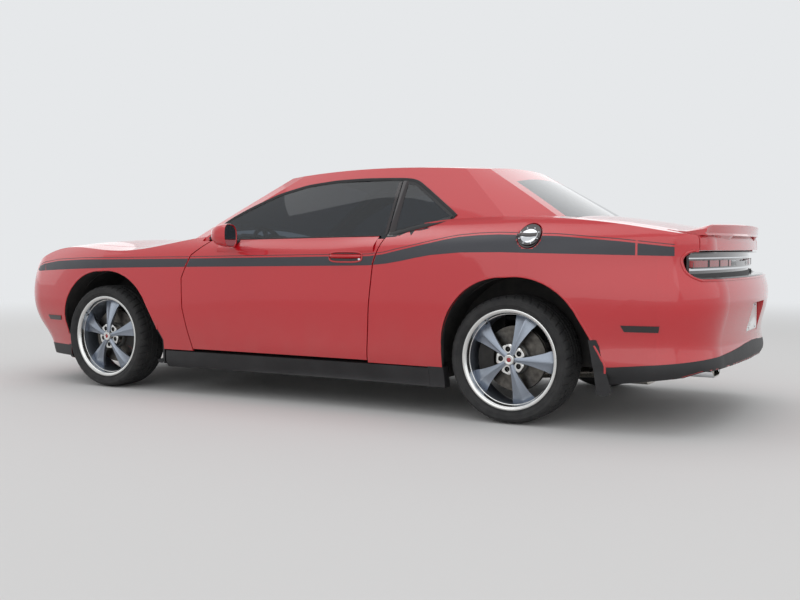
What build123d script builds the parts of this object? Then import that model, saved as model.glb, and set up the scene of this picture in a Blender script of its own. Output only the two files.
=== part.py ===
# Two-door muscle car, full size. Millimetres. +X forward, +Y left, +Z up.
# The origin is on the ground, at the middle of the car's length and width.
from build123d import *
from functools import cache
from math import cos, hypot, radians, sin
import os

os.makedirs("parts", exist_ok=True)

# Overall places
NOSE_X = 2511.0
TAIL_X = -2511.0
FRONT_AXLE_X = 1566.0
REAR_AXLE_X = -1380.0
WHEEL_Y = 802.0
TYRE_RADIUS = 344.0
TYRE_WIDTH = 246.0
AXLE_Z = TYRE_RADIUS

# Walls and gaps
SKIN = 16.0
PILLAR = 45.0
DOOR_THICK = 110.0
DOOR_FLANGE = 26.0
LID_THICK = 28.0
GLASS = 5.0
GLASS_SINK = 12.0
SHUT_GAP = 7.0
DOOR_STEP = 7.0
SEAT_GAP = 0.3
ON_BASE = (Align.CENTER, Align.CENTER, Align.MIN)

# Widest waterline, nose centre to tail centre. Even rows after the first are ends of arcs,
# odd ones their middle points. Columns: x, y.
PLAN = [
    (NOSE_X, 0), (2482, 600), (2408, 775), (2230, 880), (1930, 927), (1566, 946),
    (1080, 945), (600, 940), (0, 937), (-600, 940), (-1000, 951), (-1450, 961),
    (-1850, 951), (-2170, 913), (-2370, 800), (-2462, 590), (TAIL_X, 0),
]

# How far each waterline lies inside the widest one.
# Columns: z, then the inset at the x places of INSET_X.
INSET_X = [2511, 2360, 1566, 0, -1380, -2330, -2511]
WATERLINES = [
    (170, 230, 150, 40, 70, 40, 120, 170),
    (270, 175, 120, 25, 34, 25, 60, 95),
    (430, 50, 40, 8, 10, 8, 35, 50),
    (620, 0, 0, 0, 0, 0, 10, 14),
    (750, 18, 15, 4, 4, 0, 20, 20),
    (850, 60, 45, 14, 10, 2, 56, 66),
    (920, 110, 80, 45, 22, 8, 60, 84),
    (1000, 180, 140, 120, 100, 42, 64, 98),
    (1100, 290, 235, 230, 182, 122, 108, 150),
    (1200, 410, 345, 345, 275, 215, 175, 230),
]

# Crown of hood, belt and deck. Columns: x, z at the centre, z at 800 to the side.
CROWN_Y = 800.0
CROWN = [
    (2640, 770, 730), (2450, 830, 778), (2222, 942, 892), (1663, 1000, 946),
    (1009, 1035, 980), (300, 1048, 995), (-500, 1056, 1005), (-980, 1130, 1100),
    (-1585, 1138, 1104), (-1929, 1098, 1070), (-2252, 1040, 1014), (-2400, 1008, 985),
    (-2640, 950, 935),
]

# Cabin outline at three heights.
# Columns: z, screen centre x, screen edge x, y, side start x, y, side middle y, side end x, y,
# rear glass edge x, y, rear glass centre x.
CABIN = [
    (880, 1235, 1090, 815, 960, 870, 905, -1560, 880, -1880, 760, -2040),
    (1140, 778, 655, 705, 545, 752, 772, -1260, 742, -1520, 655, -1625),
    (1370, 370, 262, 585, 165, 618, 640, -1010, 612, -1140, 535, -1215),
]
CABIN_MIDDLE_X = -350.0
# Roof crown. Columns: x, z at the centre, z at 600 to the side.
ROOF_Y = 600.0
ROOF = [(900, 1290, 1260), (300, 1403, 1372), (-350, 1450, 1417), (-1180, 1412, 1380), (-2100, 1290, 1262)]

# Wheel opening in the body side, from the axle. Columns: x, z over the ground.
ARCH_TOP_Z = 784.0
ARCH = [(385, 400), (290, 665), (0, ARCH_TOP_Z), (-215, 752), (-375, 615), (-530, 345)]
HOUSE_RADIUS = 436.0
HOUSE_Z = 352.0
HOUSE_WALL = 12.0
HOUSE_OPEN_Z = 570.0
FRONT_HOUSE_Y = 492.0
REAR_HOUSE_Y = 650.0

# Door outline on the side. Columns: x, z from the belt down.
DOOR_FRONT = [(670, 1000), (800, 898), (868, 750), (862, 560), (828, 409), (796, 290)]
DOOR_REAR = [(-606, 1000), (-558, 850), (-532, 600), (-512, 290)]

# Side windows. Columns: x, z. The first run is the door's own glass.
BELT_Z = 992.0
DOOR_WINDOW = [(714, 992), (609, 1103), (444, 1186), (269, 1262), (71, 1312), (-147, 1335),
               (-536, 1336), (-600, 1335), (-600, 1005)]
REAR_WINDOW = [(-607, 1004), (-607, 1335), (-679, 1323), (-999, 1110), (-982, 1102), (-780, 1052)]
WINDOW_GAP = 6.0

# Hood, deck and roof seams seen from above
HOOD_REAR_X = 1100.0
HOOD_REAR_SIDE_X = 985.0
HOOD_FRONT_X = 2395.0
HOOD_SIDE_REAR_Y = 745.0
HOOD_SIDE_FRONT_Y = 700.0
HOOD_NOSE_GAP = 13.0
COWL_Y = 748.0
COWL_DROP = 26.0
DECK_FRONT_X = -1706.0
DECK_FRONT_SIDE_X = -1690.0
DECK_REAR_X = -2460.0
DECK_LOW_Z = 928.0
DECK_SIDE_Y = 735.0
ROOF_SEAM_Y = 560.0
STRIP_Y = 704.0
FUEL_X = -1500.0
FUEL_Z = 1004.0
FUEL_RADIUS = 62.0
FUEL_PROUD = 8.0
FUEL_POCKET = 13.0
FUEL_UNDER = 5.0
FLAP_GAP = 5.5
FENDER_SEAM = [(1985, 100), (1985, 560), (2190, 800), (2190, 1100)]
QUARTER_SEAM = [(-1860, 100), (-1860, 560), (-2060, 700), (-2060, 1300)]

# Door pane below the belt
PANE_HALF = 600.0
PANE_FOOT = 955.0

# Sills
SILL_TOP = 272.0
SILL_BOTTOM = 158.0
SILL_FRONT_X = 1020.0
SILL_REAR_X = -905.0
FLOOR_Z = 200.0
FLOOR_THICK = 24.0
TUNNEL_Y = 150.0
TUNNEL_Z = 400.0
ROCKER_IN_Y = 690.0
ROCKER_TOP = 385.0
ROCKER_OUT_Y = 762.0
SEAT_RAMP_Z = 540.0

# Nose and tail openings
GRILLE_X = 2436.0
GRILLE_Z = 672.0
GRILLE_BOW = 42.0
GRILLE_HALF = 746.0
LAMPS = [(2446, 640), (2464, 480)]  # Columns: x of the lamp's face, y
LAMP_RADIUS = 60.0
LAMP_DOME = 14.0
SLAT_REACH = 14.0
INTAKE_X = 2426.0
INTAKE_HALF = 586.0
INTAKE_Z = 400.0
INTAKE_BOW = 30.0
LAMP_X = -2384.0
LAMP_Z = 852.0
LAMP_BOW = -88.0
TAIL_FOOT = [(-1850, 100), (-1850, 236), (-1943, 250), (-2284, 300), (-2360, 326), (-2540, 340), (-2540, 100)]
SPOILER_X = -2440.0
SPOILER_CHORD = 165.0
SPOILER_HALF = 732.0
PLATE_WIDTH = 330.0
PLATE_HEIGHT = 170.0
PLATE_Z = 560.0
PLATE_DEPTH = 34.0
PLATE_X = -2458.0
PLATE_BOLTS = (177.8, 120.65)
PLATE_BOLT_R = 3.0

# Wheels
RIM_LIP = 272.0
BEAD = 254.0
RIM_WIDTH = 214.0
SPOKES = 5
# How far the lowest spoke stands from straight down, towards the tail, in degrees
FRONT_TURN = 34.0
REAR_TURN = 16.0
HUB_RADIUS = 74.0
DISC_RADIUS = 178.0
DISC_THICK = 30.0
DISC_OUT = 8.0
HUB_GAP = 6.0
KINGPIN_Y = 748.0
LOWER_BALL_Z = 234.0
UPPER_BALL_Z = 500.0

# Hinges. The door's pins stand inside its skin; the hood's and deck lid's lie across the car.
DOOR_HINGE = (792.0, 928.0)
DOOR_HINGE_Z = (560.0, 680.0)
PIN_RADIUS = 4.0
HINGE_POST_Y = 800.0
HOOD_HINGE = (1010.0, 978.0)
DECK_HINGE = (-1655.0, 1105.0)
DECK_HINGE_Y = 350.0
FLAP_HINGE = (-1436.0, 920.5, 1004.0)
FLAP_SLOPE = (0.0, -0.53, 0.848)
EYE_POCKET_R = 13.5

# Engine, steering and seats
ENGINE = (560.0, 560.0, 520.0)
ENGINE_X = 1560.0
ENGINE_Z = 590.0
COLUMN_TILT = 22.0
COLUMN_LENGTH = 345.0
HUB_THICK = 30.0
STEER_WHEEL = (560.0, 380.0, 905.0)
STEER_WHEEL_R = 190.0
SEAT_Y = 370.0


def write(shape, name):
    """One STEP file for each node."""
    export_step(shape, f"parts/{name}.step")


def both(shape):
    """A left-hand shape with its mirror image on the right."""
    return Compound(children=list(shape.solids()) + list(mirror(shape, Plane.XZ).solids()))


def right(shape):
    return mirror(shape, Plane.XZ)


def block(x0, x1, y0, y1, z0, z1):
    return Pos((x0 + x1) / 2, (y0 + y1) / 2, (z0 + z1) / 2) * Box(abs(x1 - x0), abs(y1 - y0), abs(z1 - z0))


def rod(a, b, radius):
    """A round bar from point a to point b."""
    a, b = Vector(*a), Vector(*b)
    return extrude(Plane(origin=a, z_dir=b - a) * Circle(radius), (b - a).length)


def side_prism(points, y0, y1):
    """A polygon of x, z points, carried from y0 to y1."""
    face = Face(Wire.make_polygon([(x, y0, z) for x, z in points]))
    return Solid.extrude(face, Vector(0, y1 - y0, 0))


def top_prism(points, z0, z1):
    """A polygon of x, y points, carried from z0 to z1."""
    face = Face(Wire.make_polygon([(x, y, z0) for x, y in points]))
    return Solid.extrude(face, Vector(0, 0, z1 - z0))


def ring_y(x, y0, y1, z, outer, inner):
    """A tube along Y."""
    tube = Cylinder(outer, abs(y1 - y0)) - Cylinder(inner, abs(y1 - y0) + 2)
    return Pos(x, (y0 + y1) / 2, z) * Rot(90, 0, 0) * tube


def disc_y(x, y0, y1, z, radius):
    return Pos(x, (y0 + y1) / 2, z) * Rot(90, 0, 0) * Cylinder(radius, abs(y1 - y0))


def between(x, places, values):
    """Straight-line interpolation, with places falling."""
    if x >= places[0]:
        return values[0]
    for i in range(len(places) - 1):
        if x >= places[i + 1]:
            share = (places[i] - x) / (places[i] - places[i + 1])
            return values[i] + share * (values[i + 1] - values[i])
    return values[-1]


def plan_normals():
    normals = [(1.0, 0.0)]
    for before, after in zip(PLAN[:-2], PLAN[2:]):
        tx, ty = after[0] - before[0], after[1] - before[1]
        normals.append((ty / hypot(tx, ty), -tx / hypot(tx, ty)))
    return normals + [(-1.0, 0.0)]


def waterline(row, deeper):
    """One closed waterline of the lower body, moved in by deeper."""
    left = []
    for (x, y), (nx, ny) in zip(PLAN, plan_normals()):
        inset = between(x, INSET_X, row[1:]) + deeper
        left.append((x - nx * inset, y - ny * inset, row[0]))
    mirrored = [(x, -y, z) for x, y, z in left]
    last = len(left) - 1
    edges = [Edge.make_three_point_arc(mirrored[1], left[0], left[1])]
    for i in range(1, last - 1, 2):
        edges.append(Edge.make_three_point_arc(left[i], left[i + 1], left[i + 2]))
    edges.append(Edge.make_three_point_arc(left[last - 1], left[last], mirrored[last - 1]))
    for i in range(last - 1, 1, -2):
        edges.append(Edge.make_three_point_arc(mirrored[i], mirrored[i - 1], mirrored[i - 2]))
    return Wire(edges)


def crowned(table, side_y, lower, width, floor):
    """A solid under a crowned surface: arcs across the car, lofted along it."""
    wires = []
    for x, z_centre, z_side in table:
        edge_z = z_centre - (z_centre - z_side) * (width / side_y) ** 2 - lower
        a, b = (x, -width, edge_z), (x, width, edge_z)
        wires.append(Wire([
            Edge.make_three_point_arc(a, (x, 0, z_centre - lower), b),
            Edge.make_line(b, (x, width, floor)),
            Edge.make_line((x, width, floor), (x, -width, floor)),
            Edge.make_line((x, -width, floor), a),
        ]))
    return Solid.make_loft(wires, False)


@cache
def lower_sides(deeper):
    return Solid.make_loft([waterline(row, deeper) for row in WATERLINES], False)


@cache
def lower_body(deeper):
    """The body below the belt, moved in by deeper on every side but the bottom."""
    return lower_sides(deeper) & crowned(CROWN, CROWN_Y, deeper, 1000, 100)


def layer(outer, inner, *clips):
    """The body's wall between two depths, inside every clip."""
    zone = clips[0]
    for clip in clips[1:]:
        zone = zone & clip
    return (zone & lower_body(outer)) - lower_body(inner)


def side_layer(outer, inner, *clips):
    """The same for the side walls alone, with no top."""
    zone = clips[0]
    for clip in clips[1:]:
        zone = zone & clip
    return (zone & lower_sides(outer)) - lower_sides(inner)


def cabin_outline(row, deeper):
    z, sc, sx, sy, ax, ay, my, bx, by, gx, gy, gc = row
    d = deeper
    k = 0.7 * deeper
    right_side = [(sx - k, -(sy - k)), (ax, -(ay - d)), (CABIN_MIDDLE_X, -(my - d)), (bx, -(by - d)),
                  (gx + k, -(gy - k))]
    left_side = [(x, -y) for x, y in right_side]
    at = lambda p: (p[0], p[1], z)
    return Wire([
        Edge.make_three_point_arc(at(right_side[0]), (sc - d, 0, z), at(left_side[0])),
        Edge.make_line(at(left_side[0]), at(left_side[1])),
        Edge.make_three_point_arc(at(left_side[1]), at(left_side[2]), at(left_side[3])),
        Edge.make_line(at(left_side[3]), at(left_side[4])),
        Edge.make_three_point_arc(at(left_side[4]), (gc + d, 0, z), at(right_side[4])),
        Edge.make_line(at(right_side[4]), at(right_side[3])),
        Edge.make_three_point_arc(at(right_side[3]), at(right_side[2]), at(right_side[1])),
        Edge.make_line(at(right_side[1]), at(right_side[0])),
    ])


def cabin_sides(deeper):
    # The walls lean in, so a wall's level cut is wider than the wall is thick.
    return Solid.make_loft([cabin_outline(row, deeper * 1.15) for row in cabin_levels()], False)


def cabin_levels():
    """The three cabin rows, and one more above the roof on the same lean."""
    low, high = CABIN[1], CABIN[2]
    share = 110.0 / (high[0] - low[0])
    return CABIN + [tuple(h + share * (h - l) for l, h in zip(low, high))]


@cache
def cabin(deeper):
    """The cabin above the belt, moved in by deeper."""
    return cabin_sides(deeper) & crowned(ROOF, ROOF_Y, deeper, 1000, 700)


def arch_points(axle_x, grow=0.0):
    """The wheel opening's outline, grown outward."""
    (x0, z0), (x1, z1), (x2, z2), (x3, z3), (x4, z4), (x5, z5) = ARCH
    g = grow
    return [
        (axle_x + x0 + g, 60), (axle_x + x0 + g, z0),
        (axle_x + x1 + 0.7 * g, z1 + 0.7 * g), (axle_x + x2, z2 + g),
        (axle_x + x3 - 0.4 * g, z3 + g), (axle_x + x4 - 0.8 * g, z4 + 0.7 * g),
        (axle_x + x5 - g, z5), (axle_x + x5 - g, 60),
    ]


def arch_cutter(axle_x, y0, y1, grow=0.0):
    """The wheel opening: a straight front, two arcs over the top and a slanted back."""
    p = [Vector(x, y0, z) for x, z in arch_points(axle_x, grow)]
    outline = Wire([
        Edge.make_line(p[0], p[1]),
        Edge.make_three_point_arc(p[1], p[2], p[3]),
        Edge.make_three_point_arc(p[3], p[4], p[5]),
        Edge.make_line(p[5], p[6]),
        Edge.make_line(p[6], p[7]),
        Edge.make_line(p[7], p[0]),
    ])
    return Solid.extrude(Face(outline), Vector(0, y1 - y0, 0))


def wheel_space(axle_x, inner_y, grow=0.0):
    """What the wheel housing keeps clear, grown by a wall."""
    drum = disc_y(axle_x - 10, inner_y - grow, 900, HOUSE_Z, HOUSE_RADIUS + grow)
    return drum + arch_cutter(axle_x, 800 - grow, 920, grow + 3)


def wheel_house(axle_x, inner_y, beyond_seam):
    """The housing's wall over a wheel, joined to its own panel's skin and clear of the next one's."""
    wall = wheel_space(axle_x, inner_y, HOUSE_WALL) - wheel_space(axle_x, inner_y)
    wall -= block(axle_x - 700, axle_x + 700, 0, 1100, -50, 300)
    wall -= block(axle_x - 130, axle_x + 130, 0, inner_y + 40, -50, HOUSE_OPEN_Z)
    next_skin = beyond_seam & block(axle_x - 700, axle_x + 700, 700, 1100, 0, 1000)
    next_skin -= lower_sides(SKIN + SEAT_GAP)
    return (wall & lower_sides(SKIN)) - next_skin


BODY_OUT = lower_body(0)
BODY_CLEAR = lower_body(-SEAT_GAP)
BODY_IN = lower_body(SKIN)
CABIN_OUT = cabin(0)
CABIN_IN = cabin(PILLAR)
CABIN_CLEAR = cabin(-SEAT_GAP)
SKIN_SHELL = BODY_OUT - BODY_IN
CABIN_SHELL = CABIN_OUT - CABIN_IN
LEFT = block(-2700, 2700, 0, 1200, -50, 1600)


def hood_outline(grow):
    """The hood's edge from above. Its seams grow by the shut gap."""
    g = grow
    rear, rear_side = HOOD_REAR_X - g, HOOD_REAR_SIDE_X - g
    front = HOOD_FRONT_X + (HOOD_NOSE_GAP if g else 0)
    yr, yf = HOOD_SIDE_REAR_Y + g, HOOD_SIDE_FRONT_Y + g
    wire = Wire([
        Edge.make_three_point_arc((rear_side, -yr, 0), (rear, 0, 0), (rear_side, yr, 0)),
        Edge.make_line((rear_side, yr, 0), (front - 90, yf, 0)),
        Edge.make_three_point_arc((front - 90, yf, 0), (front, 0, 0), (front - 90, -yf, 0)),
        Edge.make_line((front - 90, -yf, 0), (rear_side, -yr, 0)),
    ])
    return Solid.extrude(Face(wire).moved(Location((0, 0, 600))), Vector(0, 0, 700))


def deck_outline(grow):
    """The deck lid's edge from above."""
    g = grow
    front, front_side = DECK_FRONT_X + g, DECK_FRONT_SIDE_X + g
    rear, y = DECK_REAR_X - g, DECK_SIDE_Y + g
    wire = Wire([
        Edge.make_three_point_arc((front_side, y, 0), (front, 0, 0), (front_side, -y, 0)),
        Edge.make_line((front_side, -y, 0), (rear, -y, 0)),
        Edge.make_line((rear, -y, 0), (rear, y, 0)),
        Edge.make_line((rear, y, 0), (front_side, y, 0)),
    ])
    return Solid.extrude(Face(wire).moved(Location((0, 0, 850))), Vector(0, 0, 500))


def door_outline(gap):
    """The door's outline on the side, every edge moved in by gap."""
    points = [(DOOR_FRONT[0][0], 1300)] + DOOR_FRONT + DOOR_REAR[::-1] + [(DOOR_REAR[0][0], 1300)]
    wire = Wire.make_polygon([(x, 400, z) for x, z in points])
    if gap:
        wire = wire.offset_2d(-gap, Kind.INTERSECTION)
    return Solid.extrude(Face(wire), Vector(0, 700, 0))


def door_window(grow):
    """The door's glass opening on the side, every edge moved out by grow."""
    wire = Wire.make_polygon([(x, 400, z) for x, z in [(760, 940)] + DOOR_WINDOW[:-1] + [(-600, 940)]])
    if grow:
        wire = wire.offset_2d(grow, Kind.INTERSECTION)
    return Solid.extrude(Face(wire), Vector(0, 700, 0))


def region(points, y0=0, y1=1200):
    return side_prism(points, y0, y1)


AHEAD_OF_SEAM = region(FENDER_SEAM + [(2700, 1100), (2700, 100)], -1200, 1200)
BEHIND_SEAM = region(QUARTER_SEAM + [(-2700, 1300), (-2700, 100)], -1200, 1200)
DECK_HOLE = deck_outline(SHUT_GAP)
HOOD_HOLE = hood_outline(SHUT_GAP)


def fender():
    """Front wing with its wheel housing. The skin is thin at the door's front edge."""
    zone = region([(px, pz) for px, pz in DOOR_FRONT] + [(796, 285), (1040, 285), (1040, 100)]
                  + FENDER_SEAM + [(670, 1100)])
    skin = (SKIN_SHELL & zone) - HOOD_HOLE - CABIN_CLEAR
    skin -= block(600, HOOD_REAR_X + 30, -10, COWL_Y + 1, 850, 1200)
    skin -= block(600, 760, 700, 880, BELT_Z - SHUT_GAP, 1100)
    skin = skin - arch_cutter(FRONT_AXLE_X, 700, 1100)
    house = wheel_house(FRONT_AXLE_X, FRONT_HOUSE_Y, AHEAD_OF_SEAM)
    hood_pin = rod((HOOD_HINGE[0], 722, HOOD_HINGE[1]), (HOOD_HINGE[0], 765, HOOD_HINGE[1]), PIN_RADIUS)
    return skin + house + hood_pin


def quarter():
    """Side frame: rear wing, rear pillar, roof rail and windscreen pillar in one pressing."""
    zone = region([(x, z) for x, z in DOOR_REAR] + [(-512, 283), (SILL_REAR_X - 1, 283), (SILL_REAR_X - 1, 100)]
                  + QUARTER_SEAM + [(-606, 1300)])
    wing = (SKIN_SHELL & zone) - DECK_HOLE - CABIN_IN
    wing = wing - arch_cutter(REAR_AXLE_X, 700, 1100) - block(-1760, -600, -10, STRIP_Y + 1, 850, 1300)
    wing -= disc_y(FUEL_X, 800, 1000, FUEL_Z, FUEL_RADIUS + FLAP_GAP) - lower_body(FUEL_POCKET)
    frame = CABIN_SHELL & LEFT
    frame -= block(-2300, 1300, -1, ROOF_SEAM_Y, 1250, 1500)
    frame -= screen_hole() + rear_glass_hole()
    frame -= door_window(WINDOW_GAP)
    frame -= side_prism(REAR_WINDOW, 400, 1100)
    frame -= block(-606, 1300, 0, 1000, 700, 975)
    frame -= block(-2200, -606, 0, 1000, 700, 1000)
    frame -= DECK_HOLE
    house = wheel_house(REAR_AXLE_X, REAR_HOUSE_Y, BEHIND_SEAM)
    wing -= along_flap(14, EYE_POCKET_R)
    return wing + frame + house + along_flap(32, PIN_RADIUS)


def along_flap(half, radius):
    """A round bar on the fuel flap's hinge line."""
    x, y, z = FLAP_HINGE
    a = (x, y - half * FLAP_SLOPE[1], z - half * FLAP_SLOPE[2])
    b = (x, y + half * FLAP_SLOPE[1], z + half * FLAP_SLOPE[2])
    return rod(a, b, radius)


def screen_hole():
    """Windscreen opening from above, inside its pillars and header."""
    return top_prism([(1300, -735), (1035, -735), (860, -700), (330, -512), (330, 512), (860, 700),
                      (1035, 735), (1300, 735)], 960, 1500)


def rear_glass_hole():
    return top_prism([(-1245, -480), (-1560, -590), (-1800, -640), (-1800, 640), (-1560, 590), (-1245, 480)],
                     1040, 1500)


def roof():
    skin = CABIN_OUT - cabin(SKIN)
    skin &= block(-1500, 900, -ROOF_SEAM_Y, ROOF_SEAM_Y, 1250, 1500)
    return skin - screen_hole() - rear_glass_hole()


def fixed_glass():
    band = CABIN_OUT - cabin(GLASS)
    over_body = block(-2200, 1300, -1000, 1000, 900, 1500) - lower_body(GLASS_SINK)
    screen = band & screen_hole() & over_body
    rear = band & rear_glass_hole() & over_body
    side = (band & side_prism(REAR_WINDOW, 400, 1100)) - BODY_CLEAR
    return Compound(children=list(screen.solids()) + list(rear.solids()) + list(side.solids())
                    + list(right(side).solids()))


def door():
    """A whole door: outer skin with its flange, and the thicker inner frame."""
    under_belt = block(-700, 900, 400, 1100, 200, BELT_Z)
    whole = (under_belt & door_outline(SHUT_GAP)) & BODY_OUT
    core = (whole & door_outline(SHUT_GAP + DOOR_STEP)) - lower_sides(DOOR_THICK)
    slot = CABIN_CLEAR - cabin(GLASS + SEAT_GAP)
    slot &= block(-PANE_HALF - SEAT_GAP, PANE_HALF + SEAT_GAP, 400, 1000, PANE_FOOT - SEAT_GAP, 1100)
    leaf = (whole - lower_sides(DOOR_FLANGE)) + core - slot
    for z in DOOR_HINGE_Z:
        leaf -= hinge_notch(z)
        leaf -= Pos(*DOOR_HINGE, z) * Cylinder(PIN_RADIUS + SEAT_GAP, 44)
    return leaf


def hinge_notch(z):
    """Room in the door for the fixed hinge arm, at every angle of the door."""
    outline = [(-13, -135), (-13, 2), (-6, 7), (4, 8), (12, 5), (54, -14), (80, -26), (80, -135)]
    x, y = DOOR_HINGE
    return top_prism([(x + dx, y + dy) for dx, dy in outline], z - 13, z + 13)


def hinge_arms():
    """Fixed half of the door hinges: a post on the rocker, two arms and their pins."""
    x, y = DOOR_HINGE
    piece = block(x - 32, x + 23, ROCKER_IN_Y, HINGE_POST_Y, ROCKER_TOP - 5, 770)
    for z in DOOR_HINGE_Z:
        piece += block(x - 7, x + 5, HINGE_POST_Y - 5, y, z - 8, z + 8)
        piece += Pos(x, y, z) * Cylinder(5, 16)
        piece += Pos(x, y, z) * Cylinder(PIN_RADIUS, 40)
    return piece


def door_glass():
    pane = CABIN_OUT - cabin(GLASS)
    pane &= door_window(0)
    pane &= block(-700, 1000, 400, 1000, PANE_FOOT, 1500)
    shoulder = BELT_Z + SEAT_GAP
    return pane & region([(720, 1500), (720, shoulder), (PANE_HALF, shoulder), (PANE_HALF, PANE_FOOT),
                          (-PANE_HALF, PANE_FOOT), (-PANE_HALF, 1500)])


def hood():
    lid = layer(0, LID_THICK, hood_outline(0), block(900, 2600, -900, 900, 760, 1200))
    for y0, y1 in ((700, 760), (-760, -700)):
        lid -= rod((HOOD_HINGE[0], y0, HOOD_HINGE[1]), (HOOD_HINGE[0], y1, HOOD_HINGE[1]), PIN_RADIUS + SEAT_GAP)
    return lid


def decklid():
    lid = layer(0, LID_THICK, deck_outline(0), block(-2600, -1500, -900, 900, DECK_LOW_Z, 1300))
    x, z = DECK_HINGE
    for y in (-DECK_HINGE_Y, DECK_HINGE_Y):
        lid += block(x - 55, x, y - 10, y + 10, z - 8, z + 8) + disc_y(x, y - 10, y + 10, z, 8)
        lid -= disc_y(x, y - 20, y + 20, z, PIN_RADIUS + SEAT_GAP)
    return lid


def cowl():
    """Panel between hood and windscreen, with the cross box that carries the dash."""
    slab = layer(COWL_DROP, 60, block(860, HOOD_REAR_X, -COWL_Y, COWL_Y, 850, 1100))
    slab = slab - hood_outline(SHUT_GAP + 1) - CABIN_CLEAR
    wall = lower_body(60) & block(1068, 1092, -740, 740, 760, 1000)
    return slab + wall


def front_fascia():
    nose = layer(0, SKIN, AHEAD_OF_SEAM, block(1500, 2600, -1000, 1000, 262, 1200))
    nose = nose - HOOD_HOLE - arch_cutter(FRONT_AXLE_X, -1100, 1100)
    nose -= grille_hole() + intake_hole()
    return nose


def grille_hole(shrink=0.0):
    """Wide slot for grille and lamps, with rounded ends."""
    return nose_slot(150, 1500, 70, GRILLE_Z, shrink)


def intake_hole(shrink=0.0):
    return nose_slot(110, 1180, 40, INTAKE_Z, shrink)


def nose_slot(height, width, corner, z, shrink):
    size = (height - 2 * shrink, width - 2 * shrink)
    return Pos(2200, 0, z) * Rot(0, 90, 0) * extrude(RectangleRounded(*size, corner - shrink), 500)


def arc_wall(face_x, thick, half_width, bow, z0, z1):
    """An upright wall that follows the nose or tail in plan. A positive bow points forward."""
    back_x = face_x - thick if bow > 0 else face_x + thick
    face = [(face_x - bow, -half_width, z0), (face_x, 0, z0), (face_x - bow, half_width, z0)]
    back = [(back_x - bow, half_width, z0), (back_x, 0, z0), (back_x - bow, -half_width, z0)]
    outline = Wire([
        Edge.make_three_point_arc(*face), Edge.make_line(face[2], back[0]),
        Edge.make_three_point_arc(*back), Edge.make_line(back[2], face[0]),
    ])
    return Solid.extrude(Face(outline), Vector(0, 0, z1 - z0))


def slot_tube(slot, inner, wall_x):
    """The short tube that lines a slot, from wall_x to just under the skin."""
    return ((slot & lower_body(8)) - inner) - block(2200, wall_x, -900, 900, 0, 900)


def grille():
    """Slatted grille behind the slot and the one below it."""
    upper_slot, lower_slot = grille_hole(SEAT_GAP), intake_hole(SEAT_GAP)
    upper = arc_wall(GRILLE_X, 14, GRILLE_HALF, GRILLE_BOW, GRILLE_Z - 75, GRILLE_Z + 75)
    lower = arc_wall(INTAKE_X, 14, INTAKE_HALF, INTAKE_BOW, INTAKE_Z - 55, INTAKE_Z + 55)
    piece = (upper & upper_slot) + slot_tube(upper_slot, grille_hole(8), 2330)
    piece += (lower & lower_slot) + slot_tube(lower_slot, intake_hole(8), 2360)
    for row in range(4):
        z = GRILLE_Z + (row - 1.5) * 30
        slat = arc_wall(GRILLE_X + SLAT_REACH, SLAT_REACH + 4, GRILLE_HALF, GRILLE_BOW, z - 4, z + 4)
        piece += slat & grille_hole(6)
    for row in range(2):
        z = INTAKE_Z + (row - 0.5) * 34
        slat = arc_wall(INTAKE_X + SLAT_REACH, SLAT_REACH + 4, INTAKE_HALF, INTAKE_BOW, z - 5, z + 5)
        piece += slat & intake_hole(6)
    for x, y in LAMPS:
        piece = piece - lamp_pocket(x, y) - lamp_pocket(x, -y)
    return piece


def lamp_back_x(y):
    """Where the grille's back wall stands at y."""
    return GRILLE_X - GRILLE_BOW * (y / GRILLE_HALF) ** 2


def lamp_pocket(x, y):
    back = lamp_back_x(y) - 6
    return Pos(back, y, GRILLE_Z) * Rot(0, 90, 0) * Cylinder(LAMP_RADIUS + SEAT_GAP, 300, align=ON_BASE)


def headlamps():
    """Four round lamps in the grille's pockets, each a drum with a domed lens."""
    solids = []
    for x, y in LAMPS:
        depth = x - lamp_back_x(y) + 6 - SEAT_GAP
        drum = Cylinder(LAMP_RADIUS, depth, align=ON_BASE)
        dome_radius = (LAMP_RADIUS ** 2 + LAMP_DOME ** 2) / (2 * LAMP_DOME)
        dome = Pos(0, 0, depth + LAMP_DOME - dome_radius) * Sphere(dome_radius)
        lens = dome & (Pos(0, 0, depth) * Cylinder(LAMP_RADIUS, 40, align=ON_BASE))
        lamp = Rot(0, 90, 0) * (drum + lens)
        for side in (-1, 1):
            solids += (Pos(x - depth, side * y, GRILLE_Z) * lamp).solids()
    return Compound(children=solids)


def chin_spoiler():
    lip = side_layer(0, 30, block(1985, 2600, -1000, 1000, 186, 262))
    return lip - arch_cutter(FRONT_AXLE_X, -1100, 1100)


def lamp_slot(grow=0.0):
    """Full-width recess in the tail for the lamps."""
    height, width = 135 + 2 * grow, 1620 + 2 * grow
    return Pos(-2200, 0, LAMP_Z) * Rot(0, -90, 0) * extrude(RectangleRounded(height, width, 50 + grow), 400)



def rear_fascia():
    tail = (SKIN_SHELL & BEHIND_SEAM) - block(-2700, -1500, -1000, 1000, 0, 225)
    tail = tail - DECK_HOLE - arch_cutter(REAR_AXLE_X, -1100, 1100) - lamp_slot()
    tail += layer(0, PLATE_DEPTH + 20, plate_box(12, -2600, -2380))
    tail = tail - plate_box(0, -2600, PLATE_X) - exhaust_tips(6) - side_prism(TAIL_FOOT, -1000, 1000)
    for y in (-PLATE_BOLTS[0] / 2, PLATE_BOLTS[0] / 2):
        for z in (-PLATE_BOLTS[1] / 2, PLATE_BOLTS[1] / 2):
            tail -= Pos(PLATE_X, y, PLATE_Z + z) * Rot(0, 90, 0) * Cylinder(PLATE_BOLT_R, 80)
    return tail


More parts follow.
